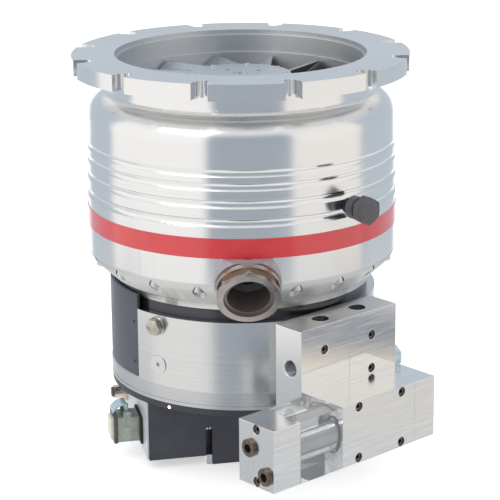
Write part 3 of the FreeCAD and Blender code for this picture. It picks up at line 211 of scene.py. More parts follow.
def surface(name, colour, metallic, roughness, **more):
    """A new material, with its tree, its shader and the piece's coordinates in millimetres."""
    material = bpy.data.materials.new(name)
    material.use_nodes = True
    tree = material.node_tree
    shader = tree.nodes["Principled BSDF"]
    shader.inputs["Base Color"].default_value = linear(colour)
    shader.inputs["Metallic"].default_value = metallic
    shader.inputs["Roughness"].default_value = roughness
    for socket, value in more.items():
        shader.inputs[socket.replace("_", " ")].default_value = value
    coordinates = add(tree, "ShaderNodeTexCoord").outputs["Object"]
    scaled = add(tree, "ShaderNodeMapping", {"Vector": coordinates,
                                             "Scale": (1000, 1000, 1000)})
    return material, tree, shader, scaled.outputs[0]


def mottle(tree, shader, place, size, shades, roughness):
    """Vary the colour and the roughness in clouds of this size in millimetres."""
    clouds = add(tree, "ShaderNodeTexNoise", {"Vector": place, "Scale": 1 / size,
                                              "Detail": 4.0, "Roughness": 0.6})
    tones = add(tree, "ShaderNodeValToRGB", {0: clouds.outputs[0]})
    stops(tones, [(0.35, linear(shades[0])), (0.65, linear(shades[1]))])
    tree.links.new(tones.outputs[0], shader.inputs["Base Color"])
    spread = add(tree, "ShaderNodeMapRange", {
        0: clouds.outputs[0], 1: 0.3, 2: 0.7, 3: roughness[0], 4: roughness[1]})
    tree.links.new(spread.outputs[0], shader.inputs["Roughness"])


def grain(tree, shader, place, size, depth):
    """Raise a fine grain of this size and depth in millimetres."""
    specks = add(tree, "ShaderNodeTexNoise", {"Vector": place, "Scale": 1 / size,
                                              "Detail": 2.0})
    bump = add(tree, "ShaderNodeBump", {"Height": specks.outputs[0], "Distance": depth / 1000,
                                        "Strength": 1.0})
    tree.links.new(bump.outputs[0], shader.inputs["Normal"])


def rings(tree, place):
    """Coordinates that stay the same all the way round the rotor axis."""
    parts = add(tree, "ShaderNodeSeparateXYZ", {0: place})
    flat = add(tree, "ShaderNodeVectorMath", {0: place, 1: (1.0, 1.0, 0.0)},
               operation="MULTIPLY")
    radius = add(tree, "ShaderNodeVectorMath", {0: flat.outputs[0]}, operation="LENGTH")
    return add(tree, "ShaderNodeCombineXYZ", {
        "X": radius.outputs["Value"], "Z": parts.outputs["Z"]}).outputs[0]


def form(name, shape, sharp=30):
    """An object of this shape, shaded smooth but for its sharp edges."""
    for face in shape.faces:
        face.smooth = True
    for line in shape.edges:
        if not line.is_manifold or line.calc_face_angle() > math.radians(sharp):
            line.smooth = False
    mesh = bpy.data.meshes.new(name)
    shape.to_mesh(mesh)
    shape.free()
    made = bpy.data.objects.new(name, mesh)
    bpy.context.scene.collection.objects.link(made)
    return made


def keep(name, shape, material, body, edge, sharp=30):
    """Make a piece of a shape, with its corners broken by this many millimetres."""
    piece = form(name, shape, sharp)
    piece.data.materials.append(material)
    if edge:
        rounding = piece.modifiers.new("broken corners", "BEVEL")
        rounding.width = edge / 1000
        rounding.segments = 2
        rounding.limit_method = "ANGLE"
        rounding.angle_limit = math.radians(sharp)
        rounding.harden_normals = True
    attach(piece, body)
    return piece


def dress(name, material, edge, body="pump"):
    """Replace a node by its own shape, merged, in this material."""
    shape = bmesh.new()
    shape.from_mesh(nodes[name].data)
    bmesh.ops.remove_doubles(shape, verts=shape.verts, dist=1e-6)
    bmesh.ops.dissolve_limit(shape, angle_limit=math.radians(0.5), verts=shape.verts,
                             edges=shape.edges)
    piece = keep(name + "_finished", shape, material, body, edge)
    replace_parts(piece, name)


def rougher(tree, shader, mask, roughness):
    """Make the surface this rough where the mask is one."""
    smooth = shader.inputs["Roughness"].links[0].from_socket
    mixed = add(tree, "ShaderNodeMix", {0: mask, 2: smooth, 3: roughness})
    tree.links.new(mixed.outputs[0], shader.inputs["Roughness"])


# Bright turned aluminium: mirrors the studio in bands that the tool marks draw out across
# themselves. The bore and the cone under the barrel are only rough turned, so they are
# rougher. Their colour is also painted greyer as painted shade: the bore's for the shade
# inside the casing, the cone's for the shade under the barrel and in the screw pockets.
turned_aluminium, tree, shader, place = surface(
    "turned_aluminium", "#E2E2E2", 1.0, 0.2, Anisotropic=0.7, Anisotropic_Rotation=0.25)
lay = add(tree, "ShaderNodeVectorMath", {0: (0.0, 0.0, 1.0), 1: place},
          operation="CROSS_PRODUCT")
tree.links.new(lay.outputs[0], shader.inputs["Tangent"])
marks = rings(tree, place)
# The real feed marks are 0.1 mm apart, too fine to show, so they are drawn 0.5 mm apart.
mottle(tree, shader, marks, 0.5, ("#E0E0E0", "#E6E6E5"), (0.18, 0.23))
grain(tree, shader, marks, 0.5, 0.0012)
# Where each zone of the casing begins and is complete, as a radius or a height in mm.
bore_edge, boss_edge = (125.4, 124.8), (155.1, 155.5)
cone_top, cone_foot, boss_top = (211.8, 211.0), (187.2, 187.8), (262.0, 260.0)
parts = add(tree, "ShaderNodeSeparateXYZ", {0: marks})
bore = add(tree, "ShaderNodeMapRange", {
    0: parts.outputs["X"], 1: bore_edge[0], 2: bore_edge[1]})
under = add(tree, "ShaderNodeMapRange", {
    0: parts.outputs["Z"], 1: cone_top[0], 2: cone_top[1]})
cone = add(tree, "ShaderNodeMapRange", {
    0: parts.outputs["Z"], 1: cone_foot[0], 2: cone_foot[1], 3: 0.0, 4: under.outputs[0]})
rougher(tree, shader, bore.outputs[0], 0.5)
rougher(tree, shader, cone.outputs[0], 0.48)
# The boss of the port stands out of the barrel. It is as cast, so it is grey and rough.
below = add(tree, "ShaderNodeMapRange", {
    0: parts.outputs["Z"], 1: boss_top[0], 2: boss_top[1]})
boss = add(tree, "ShaderNodeMapRange", {
    0: parts.outputs["X"], 1: boss_edge[0], 2: boss_edge[1], 3: 0.0, 4: below.outputs[0]})
rougher(tree, shader, boss.outputs[0], 0.55)
# The bore's and the cone's greyer colours are painted shade; the boss's grey is its cast skin.
for zone, colour in ((bore, "#CFD1D3"), (cone, "#CFCFCE"), (boss, "#BCBDC0")):
    turned = shader.inputs["Base Color"].links[0].from_socket
    duller = add(tree, "ShaderNodeMix", {0: zone.outputs[0], 6: turned, 7: linear(colour)},
                 data_type="RGBA")
    tree.links.new(duller.outputs[2], shader.inputs["Base Color"])
dress("inlet_casing", turned_aluminium, 0.5)
dress("lower_housing", turned_aluminium, 0.4)

# Coloured band
# A coloured film stuck round the joint of the two halves, under a thin clear coat.

# Red film: flat colour of its own, and the coat mirrors the soft boxes faintly.
red_film, tree, shader, place = surface(
    "red_film", "#DA242C", 0.0, 0.32, Coat_Weight=1.0, Coat_Roughness=0.1,
    Specular_IOR_Level=0.6)
mottle(tree, shader, place, 14, ("#D72129", "#DD272F"), (0.28, 0.36))
grain(tree, shader, place, 0.6, 0.004)
dress("colour_band", red_film, 0.15)

# Casing screws
# Socket screws with knurled heads, one deep in each pocket of the lower half. Steel with a
# bright zinc finish, each turned from below.


knurl_depth = 0.16


def lathe(outline, steps=72):
    """Turn an outline of radius, height and sometimes kind, in mm, about the Z axis."""
    shape = bmesh.new()
    loops = []
    for radius, height, *kind in outline:
        if radius == 0:
            loops.append([shape.verts.new((0, 0, height / 1000))])
            continue
        loop = []
        for step in range(steps):
            angle = 2 * math.pi * step / steps
            reach = radius
            if kind == ["hexagon"]:
                reach = radius / math.cos((angle + math.pi / 6) % (math.pi / 3) - math.pi / 6)
            elif kind == ["knurl"]:
                reach = radius - knurl_depth * (step % 4 in (2, 3))
            loop.append(shape.verts.new((reach * math.cos(angle) / 1000,
                                         reach * math.sin(angle) / 1000, height / 1000)))
        loops.append(loop)
    for first, second in zip(loops, loops[1:]):
        for step in range(steps):
            after = (step + 1) % steps
            corners = [first[step % len(first)], first[after % len(first)],
                       second[after % len(second)], second[step % len(second)]]
            corners = list(dict.fromkeys(corners))
            if len(corners) > 2:
                shape.faces.new(corners)
    bmesh.ops.recalc_face_normals(shape, faces=shape.faces)
    return shape


def node_tree(name, sockets):
    """A geometry tree with these inputs, and the sockets that they come out of."""
    tree = bpy.data.node_groups.new(name, "GeometryNodeTree")
    tree.interface.new_socket("Geometry", in_out="OUTPUT", socket_type="NodeSocketGeometry")
    for label, kind in sockets:
        tree.interface.new_socket(label, in_out="INPUT", socket_type="NodeSocket" + kind)
    return tree, add(tree, "NodeGroupInput").outputs


def grow(name, tree, values, body, frame=None, base=None):
    """Run a geometry tree with these inputs, and keep what it makes as one piece."""
    piece = bpy.data.objects.new(name, base or bpy.data.meshes.new(name))
    bpy.context.scene.collection.objects.link(piece)
    modifier = piece.modifiers.new("grow", "NODES")
    modifier.node_group = tree
    for item in tree.interface.items_tree:
        if item.in_out == "INPUT" and item.name in values:
            modifier[item.identifier] = values[item.name]
    bpy.context.view_layer.update()
    mesh = bpy.data.meshes.new_from_object(
        piece.evaluated_get(bpy.context.evaluated_depsgraph_get()))
    piece.modifiers.clear()
    mesh.transform(frame or Matrix())
    piece.data = mesh
    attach(piece, body)
    return piece


round_axis, entry = node_tree("round_axis", [
    ("Part", "Object"), ("Count", "Int"), ("First", "Float"), ("Pitch", "Float"),
    ("Finish", "Material")])
points = add(round_axis, "GeometryNodePoints", {"Count": entry["Count"]})
step = add(round_axis, "ShaderNodeMath", {
    0: add(round_axis, "GeometryNodeInputIndex").outputs[0], 1: entry["Pitch"],
    2: entry["First"]}, operation="MULTIPLY_ADD")
turn = add(round_axis, "ShaderNodeCombineXYZ", {"Z": step.outputs[0]})
turning = add(round_axis, "FunctionNodeEulerToRotation", {0: turn.outputs[0]})
part = add(round_axis, "GeometryNodeObjectInfo", {"Object": entry["Part"]},
           transform_space="RELATIVE")
copies = add(round_axis, "GeometryNodeInstanceOnPoints", {
    "Points": points.outputs[0], "Instance": part.outputs["Geometry"],
    "Rotation": turning.outputs[0]})
solid = add(round_axis, "GeometryNodeRealizeInstances", {0: copies.outputs[0]})
finished = add(round_axis, "GeometryNodeSetMaterial", {
    "Geometry": solid.outputs[0], "Material": entry["Finish"]})
add(round_axis, "NodeGroupOutput", {0: finished.outputs[0]})

# Zinc-plated steel: a cool bright metal, a little duller than the aluminium round it.
zinc_steel, tree, shader, place = surface("zinc_steel", "#C9CBCC", 1.0, 0.24)
mottle(tree, shader, place, 3, ("#C0C3C5", "#D2D3D3"), (0.2, 0.3))
grain(tree, shader, place, 0.8, 0.01)
shape = lathe([(0, -4.5), (3, -4.5, "hexagon"), (3, -8, "hexagon"), (5.2, -8),
               (5.85, -7.4, "knurl"), (5.85, -1, "knurl"), (5.6, -0.1), (3.4, -0.1),
               (3.4, 54.4), (0, 54.4)], 96)
shape.transform(Matrix.Translation((0, -0.1477, 0.2095)))
screw = form("casing_screw", shape)
pitch = math.radians(18)
screws = grow("casing_screw_heads", round_axis, {
    "Part": screw, "Count": 19, "First": pitch, "Pitch": pitch, "Finish": zinc_steel}, "pump")
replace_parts(screws, "casing_screws")
bpy.data.objects.remove(screw)

# Vent screw
# A steel stud in the side of the casing, with a sealing ring, and on its end a black
# six-sided knob that is turned by hand.


def outwards(turn, height, out=0):
    """A frame whose Z points out from the rotor axis at this turn, in degrees and mm."""
    return (Matrix.Rotation(math.radians(turn), 4, "Z")
            @ Matrix.Translation((0, -out / 1000, height / 1000))
            @ Matrix.Rotation(math.radians(90), 4, "X"))


def hexagon_head(flats, foot, top, chamfer=30):
    """A hexagonal head with its top turned off in a cone, as on a bolt."""
    shape = bmesh.new()
    steps = 96
    slope = math.tan(math.radians(chamfer))
    rows = [[], [], []]
    for step in range(steps):
        angle = 2 * math.pi * step / steps
        reach = flats / 2 / math.cos(angle % (math.pi / 3) - math.pi / 6)
        rim = flats / 2 * 0.97
        for row, radius, height in ((0, reach, foot), (1, reach, top - (reach - rim) * slope),
                                    (2, rim, top)):
            rows[row].append(shape.verts.new((radius * math.cos(angle) / 1000,
                                              radius * math.sin(angle) / 1000,
                                              height / 1000)))
    for low_row, high_row in ((0, 1), (1, 2)):
        for step in range(steps):
            after = (step + 1) % steps
            shape.faces.new((rows[low_row][step], rows[low_row][after],
                             rows[high_row][after], rows[high_row][step]))
    shape.faces.new(rows[2])
    shape.faces.new(list(reversed(rows[0])))
    return shape


thread, entry = node_tree("thread", [
    ("Radius", "Float"), ("Pitch", "Float"), ("Length", "Float"), ("Depth", "Float"),
    ("Finish", "Material")])
turns = add(thread, "ShaderNodeMath", {0: entry["Length"], 1: entry["Pitch"]},
            operation="DIVIDE")
spiral = add(thread, "GeometryNodeCurveSpiral", {
    "Resolution": 48, "Rotations": turns.outputs[0], "Start Radius": entry["Radius"],
    "End Radius": entry["Radius"], "Height": entry["Length"]})
upright = add(thread, "GeometryNodeSetCurveNormal", {"Curve": spiral.outputs[0]},
              mode="Z_UP")
ridge = add(thread, "GeometryNodeCurvePrimitiveCircle", {
    "Resolution": 4, "Radius": entry["Depth"]})
wound = add(thread, "GeometryNodeCurveToMesh", {
    "Curve": upright.outputs[0], "Profile Curve": ridge.outputs[0], "Fill Caps": True})
finished = add(thread, "GeometryNodeSetMaterial", {
    "Geometry": wound.outputs[0], "Material": entry["Finish"]})
add(thread, "NodeGroupOutput", {0: finished.outputs[0]})

# Bright steel: the stud is ground, so it mirrors sharply.
bright_steel, tree, shader, place = surface("bright_steel", "#D2D2D1", 1.0, 0.14)
mottle(tree, shader, place, 4, ("#C8C8C8", "#DADAD9"), (0.1, 0.2))
# Black moulded plastic: dull, with a fine leather-like grain.
black_plastic, tree, shader, place = surface("black_plastic", "#535256", 0.0, 0.4)
mottle(tree, shader, place, 6, ("#4D4C50", "#5C5B5F"), (0.34, 0.48))
grain(tree, shader, place, 0.5, 0.03)
# Black rubber: matt and very slightly brown.
black_rubber, tree, shader, place = surface("black_rubber", "#1B1A1A", 0.0, 0.6)
mottle(tree, shader, place, 3, ("#181717", "#222020"), (0.5, 0.7))
vent_frame = outwards(38.5, 278.7)
dress("vent_stud", bright_steel, 0.5, "vent_stud")
dress("vent_seal", black_rubber, 0.3)
shape = hexagon_head(24, 175, 186.5, 26)
shape.transform(Matrix.Rotation(math.radians(30), 4, "Z"))
shape.transform(vent_frame)
knob = keep("vent_knob_head", shape, black_plastic, "vent_knob", 0.35, 40)
shape = lathe([(4.95, 162), (10.4, 162), (11, 162.6), (11, 170.4), (10.4, 171),
               (8.9, 171.4), (8.9, 175), (4.95, 175)])
shape.transform(vent_frame)
keep("vent_knob_neck", shape, black_plastic, "vent_knob", 0)
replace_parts(knob, "vent_knob")

# Foreline port
# A stainless clamp flange with a hexagon, screwed into the boss over a loose ring and a
# seal. Heat has tinted it straw and pink near the hexagon.

# Tinted stainless: a silver rim, a straw to pink hexagon, and a brown stain down the bore.
tinted_steel, tree, shader, place = surface("tinted_stainless", "#A8A2A0", 1.0, 0.2)
mottle(tree, shader, place, 16, ("#968F8D", "#A5A19F"), (0.16, 0.28))
grain(tree, shader, place, 0.6, 0.004)
port_mouth = (0.0, -172.0, 202.9)
port_turn = math.radians(118)
mouth = add(tree, "ShaderNodeVectorMath", {0: place, 1: port_mouth}, operation="SUBTRACT")
along = add(tree, "ShaderNodeMapping", {
    "Vector": mouth.outputs[0], "Rotation": (-port_turn, 0.0, 0.0)})
parts = add(tree, "ShaderNodeSeparateXYZ", {0: along.outputs[0]})
radius = add(tree, "ShaderNodeVectorMath", {
    0: add(tree, "ShaderNodeVectorMath", {0: along.outputs[0], 1: (1.0, 1.0, 0.0)},
           operation="MULTIPLY").outputs[0]}, operation="LENGTH").outputs["Value"]
for zone, colour in (
        (add(tree, "ShaderNodeMapRange", {0: parts.outputs["Z"], 1: -4.5, 2: -8.0}), "#AA9A92"),
        (add(tree, "ShaderNodeMapRange", {0: radius, 1: 24.2, 2: 23.6}), "#7A6D69")):
    clean = shader.inputs["Base Color"].links[0].from_socket
    tinted = add(tree, "ShaderNodeMix", {0: zone.outputs[0], 6: clean, 7: linear(colour)},
                 data_type="RGBA")
    tree.links.new(tinted.outputs[2], shader.inputs["Base Color"])
# Deposits have dulled the bore, so it scatters what light comes in.
dull = add(tree, "ShaderNodeMapRange", {0: radius, 1: 24.2, 2: 23.6, 3: 1.0, 4: 0.4})
tree.links.new(dull.outputs[0], shader.inputs["Metallic"])
dress("foreline_flange", tinted_steel, 0.35)
# The ring took more heat: deeper straw and pink bands.
straw_steel, tree, shader, place = surface("straw_stainless", "#B09C90", 1.0, 0.22)
mottle(tree, shader, place, 9, ("#A99A93", "#B6AB9C"), (0.16, 0.28))
dress("foreline_collar", straw_steel, 0.4)
dress("foreline_seal", black_rubber, 0.2)

# Rotor
# Blade wheels milled from solid aluminium on a bell-shaped hub, closed by a disc that is
# held by a ring of small screws. It turns on the pump's axis.

# Milled rotor aluminium: satin and cooler than the casing, with short tool marks.
rotor_aluminium, tree, shader, place = surface("rotor_aluminium", "#AEB4BB", 1.0, 0.45)
mottle(tree, shader, place, 5, ("#A8AEB6", "#B8BEC4"), (0.42, 0.52))
grain(tree, shader, place, 0.7, 0.006)
for wheel in ("rotor_wheel_one", "rotor_wheel_two", "rotor_wheel_three"):
    dress(wheel, rotor_aluminium, 0.3, "rotor")
dress("rotor_hub", rotor_aluminium, 0.3, "rotor")
dress("drag_sleeve", rotor_aluminium, 0.3, "rotor")
# Faced cap: turned in fine circles.
faced_cap, tree, shader, place = surface("faced_aluminium", "#D3D6DA", 1.0, 0.3)
marks = rings(tree, place)
mottle(tree, shader, marks, 1.2, ("#CDD1D5", "#D8DBDE"), (0.24, 0.36))
grain(tree, shader, marks, 0.8, 0.003)
dress("rotor_cap", faced_cap, 0.3, "rotor")
shape = lathe([(0, 0.3), (0.9, 0.3, "hexagon"), (0.9, 1.1, "hexagon"), (1.7, 1.2),
               (2.4, 0.9), (2.6, 0.3), (2.6, 0), (1.3, 0), (1.3, -3.9), (0, -3.9)], 36)
shape.transform(Matrix.Translation((0.0465, 0, 0.384)))
screw = form("cap_screw", shape)
screws = grow("cap_screw_heads", round_axis, {
    "Part": screw, "Count": 8, "First": math.radians(35), "Pitch": math.radians(45),
    "Finish": bright_steel}, "rotor")
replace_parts(screws, "cap_screws")
bpy.data.objects.remove(screw)
dress("rotor_shaft", bright_steel, 0.4, "rotor")

# Stator and bearings
# Fixed wheels between the rotor's, the fixed drag sleeve, and the column with the bearings
# and the motor winding. All of it is inside the casing.

for name in ("stator_vanes_one", "stator_vanes_two", "drag_stator", "bearing_column"):
    dress(name, rotor_aluminium, 0.3)
dress("upper_bearing", bright_steel, 0.3)
dress("lower_bearing", bright_steel, 0.3)
# Enamelled copper: the winding is warm brown and slightly glossy.
copper_enamel, tree, shader, place = surface("enamelled_copper", "#8A4A2C", 0.6, 0.35)
mottle(tree, shader, place, 3, ("#7C4126", "#985534"), (0.3, 0.42))
dress("motor_winding", copper_enamel, 0.3)

# Body
# A pale turned ring with its own foot ring under it and a dark neck ring over it. Each is
# aluminium: the two pale ones satin turned, the neck anodised.

# Satin aluminium: fine turning lines make the reflections of the soft boxes run upright.
satin_aluminium, tree, shader, place = surface("satin_aluminium", "#D6D6D5", 1.0, 0.26)
marks = rings(tree, place)
mottle(tree, shader, marks, 0.8, ("#D2D2D2", "#DADAD9"), (0.21, 0.26))
grain(tree, shader, marks, 0.6, 0.0012)
dress("base_housing", satin_aluminium, 0.5)
# Machined aluminium: the foot ring is coarser and greyer than the body over it.
machined_aluminium, tree, shader, place = surface("machined_aluminium", "#BEC0C2", 1.0, 0.3)
marks = rings(tree, place)
mottle(tree, shader, marks, 0.8, ("#BCBEC0", "#C6C7C9"), (0.26, 0.33))
dress("base_ring", machined_aluminium, 0.3)
# Dark anodised aluminium: nearly black, with a dull sheen that follows the turning.
dark_anodised, tree, shader, place = surface("dark_anodised", "#4F4E54", 0.85, 0.2)
marks = rings(tree, place)
mottle(tree, shader, marks, 1.5, ("#4B4A4F", "#55545A"), (0.18, 0.24))
dress("neck_ring", dark_anodised, 0.4)

# Cover
# A bent sheet with a dark coat that closes the side of the body. Four small countersunk
# screws hold it.

# Powder coat: a dark slate paint with a fine orange-peel texture.
slate_coat, tree, shader, place = surface("slate_powder_coat", "#4C4F59", 0.0, 0.4)
mottle(tree, shader, place, 30, ("#494C56", "#51545D"), (0.34, 0.44))
grain(tree, shader, place, 0.9, 0.02)
dress("cover_panel", slate_coat, 0.5)

seats, entry = node_tree("seats", [
    ("Seats", "Geometry"), ("Part", "Object"), ("Finish", "Material")])
facing = add(seats, "GeometryNodeInputNamedAttribute", {"Name": "facing"},
             data_type="FLOAT_VECTOR")
turning = add(seats, "FunctionNodeEulerToRotation", {0: facing.outputs[0]})
part = add(seats, "GeometryNodeObjectInfo", {"Object": entry["Part"]},
           transform_space="RELATIVE")
copies = add(seats, "GeometryNodeInstanceOnPoints", {
    "Points": entry["Seats"], "Instance": part.outputs["Geometry"],
    "Rotation": turning.outputs[0]})
solid = add(seats, "GeometryNodeRealizeInstances", {0: copies.outputs[0]})
finished = add(seats, "GeometryNodeSetMaterial", {
    "Geometry": solid.outputs[0], "Material": entry["Finish"]})
add(seats, "NodeGroupOutput", {0: finished.outputs[0]})


def seated(name, shape, frames, material):
    """Repeat a part at each of these frames, by the tree for seats."""
    base = bpy.data.meshes.new(name)
    base.from_pydata([frame.translation for frame in frames], [], [])
    facing = base.attributes.new("facing", "FLOAT_VECTOR", "POINT")
    for item, frame in zip(facing.data, frames):
        item.vector = frame.to_euler()
    part = form(name + "_part", shape)
    piece = grow(name, seats, {"Part": part, "Finish": material}, "pump", base=base)
    bpy.data.objects.remove(part)
    return piece


# Blackened steel: almost no colour, with rubbed places on the edges of the sockets. On the
# threads of the two top ports it is painted shade, which darkens those holes.
black_steel_and_port_shade, tree, shader, place = surface("blackened_steel_and_port_shade", "#6E6863", 0.95, 0.32)
mottle(tree, shader, place, 2, ("#57524E", "#857D77"), (0.26, 0.4))
grain(tree, shader, place, 0.5, 0.01)
shape = lathe([(0, -0.8), (1.2, -0.8, "hexagon"), (1.2, 0.4, "hexagon"), (2.4, 0.5),
               (3.2, 0), (1.6, 0), (1.6, -9), (0, -9)], 48)
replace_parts(seated("cover_screw_heads", shape, [
    outwards(turn, height, 135) for turn in (-54.5, -169.5) for height in (152.6, 111)],
    slate_coat), "cover_screws")

# Plugs
# A nickel-plated plug with a hexagon closes the gas inlet at the top of the body. The disc
# under it is pressed in flush and has a small hole.

# Nickel plate: warm grey metal with a soft gloss.
nickel, tree, shader, place = surface("nickel_plate", "#BDB3A6", 1.0, 0.22)
mottle(tree, shader, place, 5, ("#A9A39A", "#C3BEB6"), (0.16, 0.3))
grain(tree, shader, place, 0.7, 0.008)
purge_frame = outwards(-40, 156, 135)
shape = hexagon_head(15, 2.5, 8.5, 32)
shape.transform(purge_frame)
head = keep("purge_plug_head", shape, nickel, "pump", 0.3, 35)
shape = lathe([(0, -10), (6.5, -10), (6.5, 0), (8.8, 0), (9.5, 0.6), (9.5, 1.9), (8.8, 2.5),
               (0, 2.5)])
shape.transform(purge_frame)
keep("purge_plug_collar", shape, nickel, "pump", 0)
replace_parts(head, "purge_plug")
dress("seal_disc", satin_aluminium, 0.3)

# Drive electronics
# A folded and coated steel box under a round lid, with a slot for the earth foot, two
# small screws in the slot and a status light.

# Anthracite coat: darker and smoother than the cover's.
anthracite, tree, shader, place = surface("anthracite_coat", "#3F4048", 0.0, 0.38)
mottle(tree, shader, place, 25, ("#3F4049", "#484950"), (0.32, 0.42))
grain(tree, shader, place, 0.9, 0.02)
# The lid is coated on its own, a little darker.
lid_coat, tree, shader, place = surface("anthracite_lid_coat", "#34353C", 0.0, 0.4)
mottle(tree, shader, place, 25, ("#32333A", "#38393F"), (0.36, 0.44))
dress("drive_lid", lid_coat, 0.4)
dress("drive_housing", anthracite, 0.8)
dress("earth_foot", zinc_steel, 0.6)
dress("slot_screws", bright_steel, 0.3)
# Status light: a lit white lens, let into the edge of the lid.
lit_lens, tree, shader, place = surface(
    "lit_lens", "#FFFFFF", 0.0, 0.3, Emission_Color=linear("#FFFFFF"), Emission_Strength=1.2)
mottle(tree, shader, place, 2, ("#F4F6F8", "#FFFFFF"), (0.25, 0.35))
shape = lathe([(0, -2), (1.7, -2), (1.7, 0.3), (1.3, 0.6), (0, 0.6)])
shape.transform(outwards(-34.7, 73.8, 135))
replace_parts(keep("status_light_lens", shape, lit_lens, "pump", 0), "status_light")

# Connectors
# A pale plate on the end of the box carries a square power connector with a locking lever
# and a round signal connector.

# Passivated sheet: pale blue-grey zinc with faint spangle.
pale_zinc, tree, shader, place = surface("passivated_sheet", "#D4D6D8", 0.15, 0.34)
mottle(tree, shader, place, 8, ("#CDCFD2", "#DBDDDF"), (0.28, 0.42))
dress("connector_plate", pale_zinc, 0.4)
# Chromated die-casting: greenish grey, slightly rough.
chromated, tree, shader, place = surface("chromated_casting", "#AEB5A8", 0.85, 0.38)
mottle(tree, shader, place, 7, ("#A0A99E", "#BCC0B0"), (0.3, 0.46))
grain(tree, shader, place, 0.8, 0.02)
dress("power_shell", chromated, 0.6)
dress("power_screw", zinc_steel, 0.3)
dress("power_gasket", black_rubber, 0.3)
dress("power_lip", black_plastic, 0.6)
# Cream moulding: the contact insert.
cream, tree, shader, place = surface("cream_moulding", "#ECE6CB", 0.0, 0.45)
mottle(tree, shader, place, 9, ("#E6E0C4", "#F1ECD6"), (0.4, 0.52))
grain(tree, shader, place, 0.6, 0.02)
dress("power_insert", cream, 0.7)
# Blue-passivated spring steel.
blue_steel, tree, shader, place = surface("blue_passivated", "#C0D3DB", 0.5, 0.26)
mottle(tree, shader, place, 5, ("#AFC6D0", "#D4E2E8"), (0.2, 0.32))
dress("power_lever", blue_steel, 0.25, "locking_lever")
# Nickel-plated brass.
nickel_brass, tree, shader, place = surface("nickel_brass", "#CDBDB1", 1.0, 0.26)
mottle(tree, shader, place, 4, ("#C2AFA2", "#D9CCC3"), (0.2, 0.34))
dress("signal_shell", nickel_brass, 0.4)
dress("signal_insert", black_plastic, 0.4)

# Valve block
# Two uprights on a flat of the body, and a long bar across their front: end block, clear
# block, main block and a second end block. All milled aluminium, screwed together.


def block_place(tree, place, lengths):
    """Coordinates that follow the block's own sides, drawn out by these lengths in mm."""
    turned = add(tree, "ShaderNodeMapping", {
        "Vector": place, "Rotation": (0.0, 0.0, math.radians(-40))})
    return add(tree, "ShaderNodeMapping", {
        "Vector": turned.outputs[0], "Scale": tuple(1 / length for length in lengths)}
    ).outputs[0]


# Fly-cut aluminium: bright, with faint long marks along the bar.
milled_aluminium, tree, shader, place = surface("milled_aluminium", "#E8E8E8", 1.0, 0.18)
mottle(tree, shader, block_place(tree, place, (40, 1.5, 1.5)), 1, ("#E2E2E3", "#ECECEB"),
       (0.15, 0.21))
grain(tree, shader, block_place(tree, place, (16, 0.8, 0.8)), 1, 0.0008)
for name in ("left_end_block", "main_block", "right_end_block"):
    dress(name, milled_aluminium, 0.4)
# The uprights are cut finer, so they mirror almost sharply.
fine_aluminium, tree, shader, place = surface("fine_milled_aluminium", "#E8E8E8", 1.0, 0.1)
mottle(tree, shader, block_place(tree, place, (40, 1.5, 1.5)), 1, ("#E6E6E6", "#EBEBEA"),
       (0.08, 0.12))
grain(tree, shader, block_place(tree, place, (16, 0.8, 0.8)), 1, 0.0004)
# Their tops are only sawn and faced, so they stay duller.
parts = add(tree, "ShaderNodeSeparateXYZ", {0: place})
tops = add(tree, "ShaderNodeMapRange", {0: parts.outputs["Z"], 1: 170.0, 2: 170.3})
rougher(tree, shader, tops.outputs[0], 0.42)
for name in ("upright_left", "upright_right"):
    dress(name, fine_aluminium, 0.7)


def in_block(along, out, height, facing):
    """A frame in the valve block whose Z faces out of its front, left or right side."""
    turns = {"front": Matrix.Rotation(math.radians(90), 4, "X"),
             "left": Matrix.Rotation(math.radians(-90), 4, "Y"),
             "right": Matrix.Rotation(math.radians(90), 4, "Y"),
             "top": Matrix()}
    return (Matrix.Rotation(math.radians(40), 4, "Z")
            @ Matrix.Translation((along / 1000, -out / 1000, height / 1000)) @ turns[facing])


upright_face, bar_face, bar_end, bar_middle = 158.2, 205.4, -147.4, 186.8
upper_row, lower_row = 100.8, 49.5
socket_screw = [(0, 2.5), (2, 2.5, "hexagon"), (2, 5, "hexagon"), (3.8, 5), (4.3, 4.5),
                (4.3, 0), (2.5, 0), (2.5, -14), (0, -14)]
for node, frames in (
        ("upright_screws", [in_block(x, upright_face, z, "front") for x, z in (
            (-43.6, 145.6), (20.4, 145.6), (20.4, 111.5))]),
        ("main_screws", [in_block(x, bar_face, z, "front") for x in (-44.3, 14)
                         for z in (upper_row, lower_row)]),
        ("end_screws", [in_block(bar_end, 188.8, z, "left")
                        for z in (upper_row, lower_row)])):
    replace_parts(seated(node + "_heads", lathe(socket_screw, 60), frames, black_steel_and_port_shade), node)

# Ports and fittings of the block
# Two threaded ports in the top, one in the side, dark socket plugs in the end of the bar,
# and a plated fitting on the right.

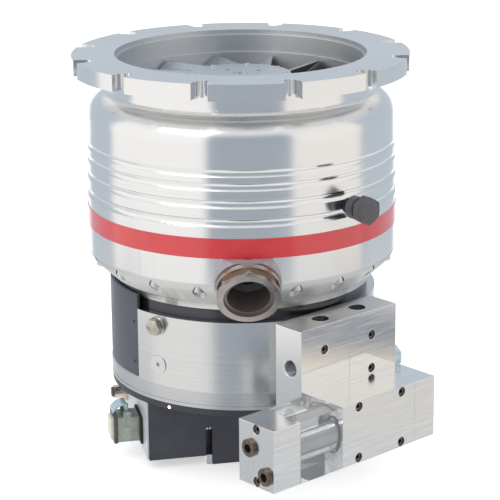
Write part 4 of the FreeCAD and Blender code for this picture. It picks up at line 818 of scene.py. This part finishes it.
# Bronze-brown phosphated steel.
phosphated, tree, shader, place = surface("phosphated_steel", "#6B5E56", 0.9, 0.34)
mottle(tree, shader, place, 4, ("#5C5048", "#7C6E65"), (0.28, 0.42))
grain(tree, shader, place, 0.6, 0.01)
plug = [(0, -1.5), (4, -1.5, "hexagon"), (4, 3.5, "hexagon"), (7.9, 3.5), (8.7, 2.8),
        (8.7, 0), (6.5, 0), (6.5, -10), (0, -10)]
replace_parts(seated("end_plug_heads", lathe(plug, 72), [
    in_block(-154.4, out, height, "left") for out, height in ((180.8, 81.2), (202.3, 58.6))],
    phosphated), "end_plugs")
# The real pitch is 1.34 mm, too fine to show, so the threads are drawn coarser.
top_port_foot = 156.5
# The top ports' threads are dark blackened steel as painted shade in the holes; the side port's
# are bright zinc steel.
for name, frame, finish in (
        ("top_port_left_thread", in_block(-33, 147.6, top_port_foot, "top"), black_steel_and_port_shade),
        ("top_port_right_thread", in_block(17, 147.6, top_port_foot, "top"), black_steel_and_port_shade),
        ("side_port_thread", in_block(-61, 150, 130.1, "left"), zinc_steel)):
    grow(name, thread, {"Radius": 0.0084, "Pitch": 0.0019, "Length": 0.0133,
                        "Depth": 0.0009, "Finish": finish}, "pump", frame)
fitting_frame = in_block(53.6, 152, 111, "right")
shape = hexagon_head(22, 3, 12, 30)
shape.transform(fitting_frame)
fitting = keep("side_fitting_head", shape, blue_steel, "pump", 0.3, 35)
shape = lathe([(0, -12), (8, -12), (8, 0), (11.4, 0), (12, 0.6), (12, 3), (0, 3)])
shape.transform(fitting_frame)
keep("side_fitting_collar", shape, blue_steel, "pump", 0)
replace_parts(fitting, "side_fitting")

# Sight glass
# A clear acrylic block between the metal ones, bored along its length for a glass tube
# that a rubber ring seals at each end.

# Clear acrylic: polished outside, so it shows the metal behind and mirrors the sky.
acrylic, tree, shader, place = surface(
    "clear_acrylic", "#F4F7F8", 0.0, 0.02, Transmission_Weight=0.84, IOR=1.49)
grain(tree, shader, place, 20, 0.01)
dress("sight_block", acrylic, 0.5)
glass, tree, shader, place = surface(
    "tube_glass", "#E8E4E1", 0.0, 0.06, Transmission_Weight=0.25, IOR=1.47)
grain(tree, shader, place, 12, 0.01)
dress("sight_tube", glass, 0.3)
dress("sight_seals", black_rubber, 0)
# A second seal lies in a groove in the right face of the clear block, round the bore.
shape = lathe([(17.4, 0.3), (18.7, 0.3), (18.7, 1.5), (17.4, 1.5), (17.4, 0.3)])
bmesh.ops.remove_doubles(shape, verts=shape.verts, dist=1e-6)
shape.transform(in_block(-66.2, bar_middle, (upper_row + lower_row) / 2, "left"))
keep("sight_face_seal", shape, black_rubber, "pump", 0)
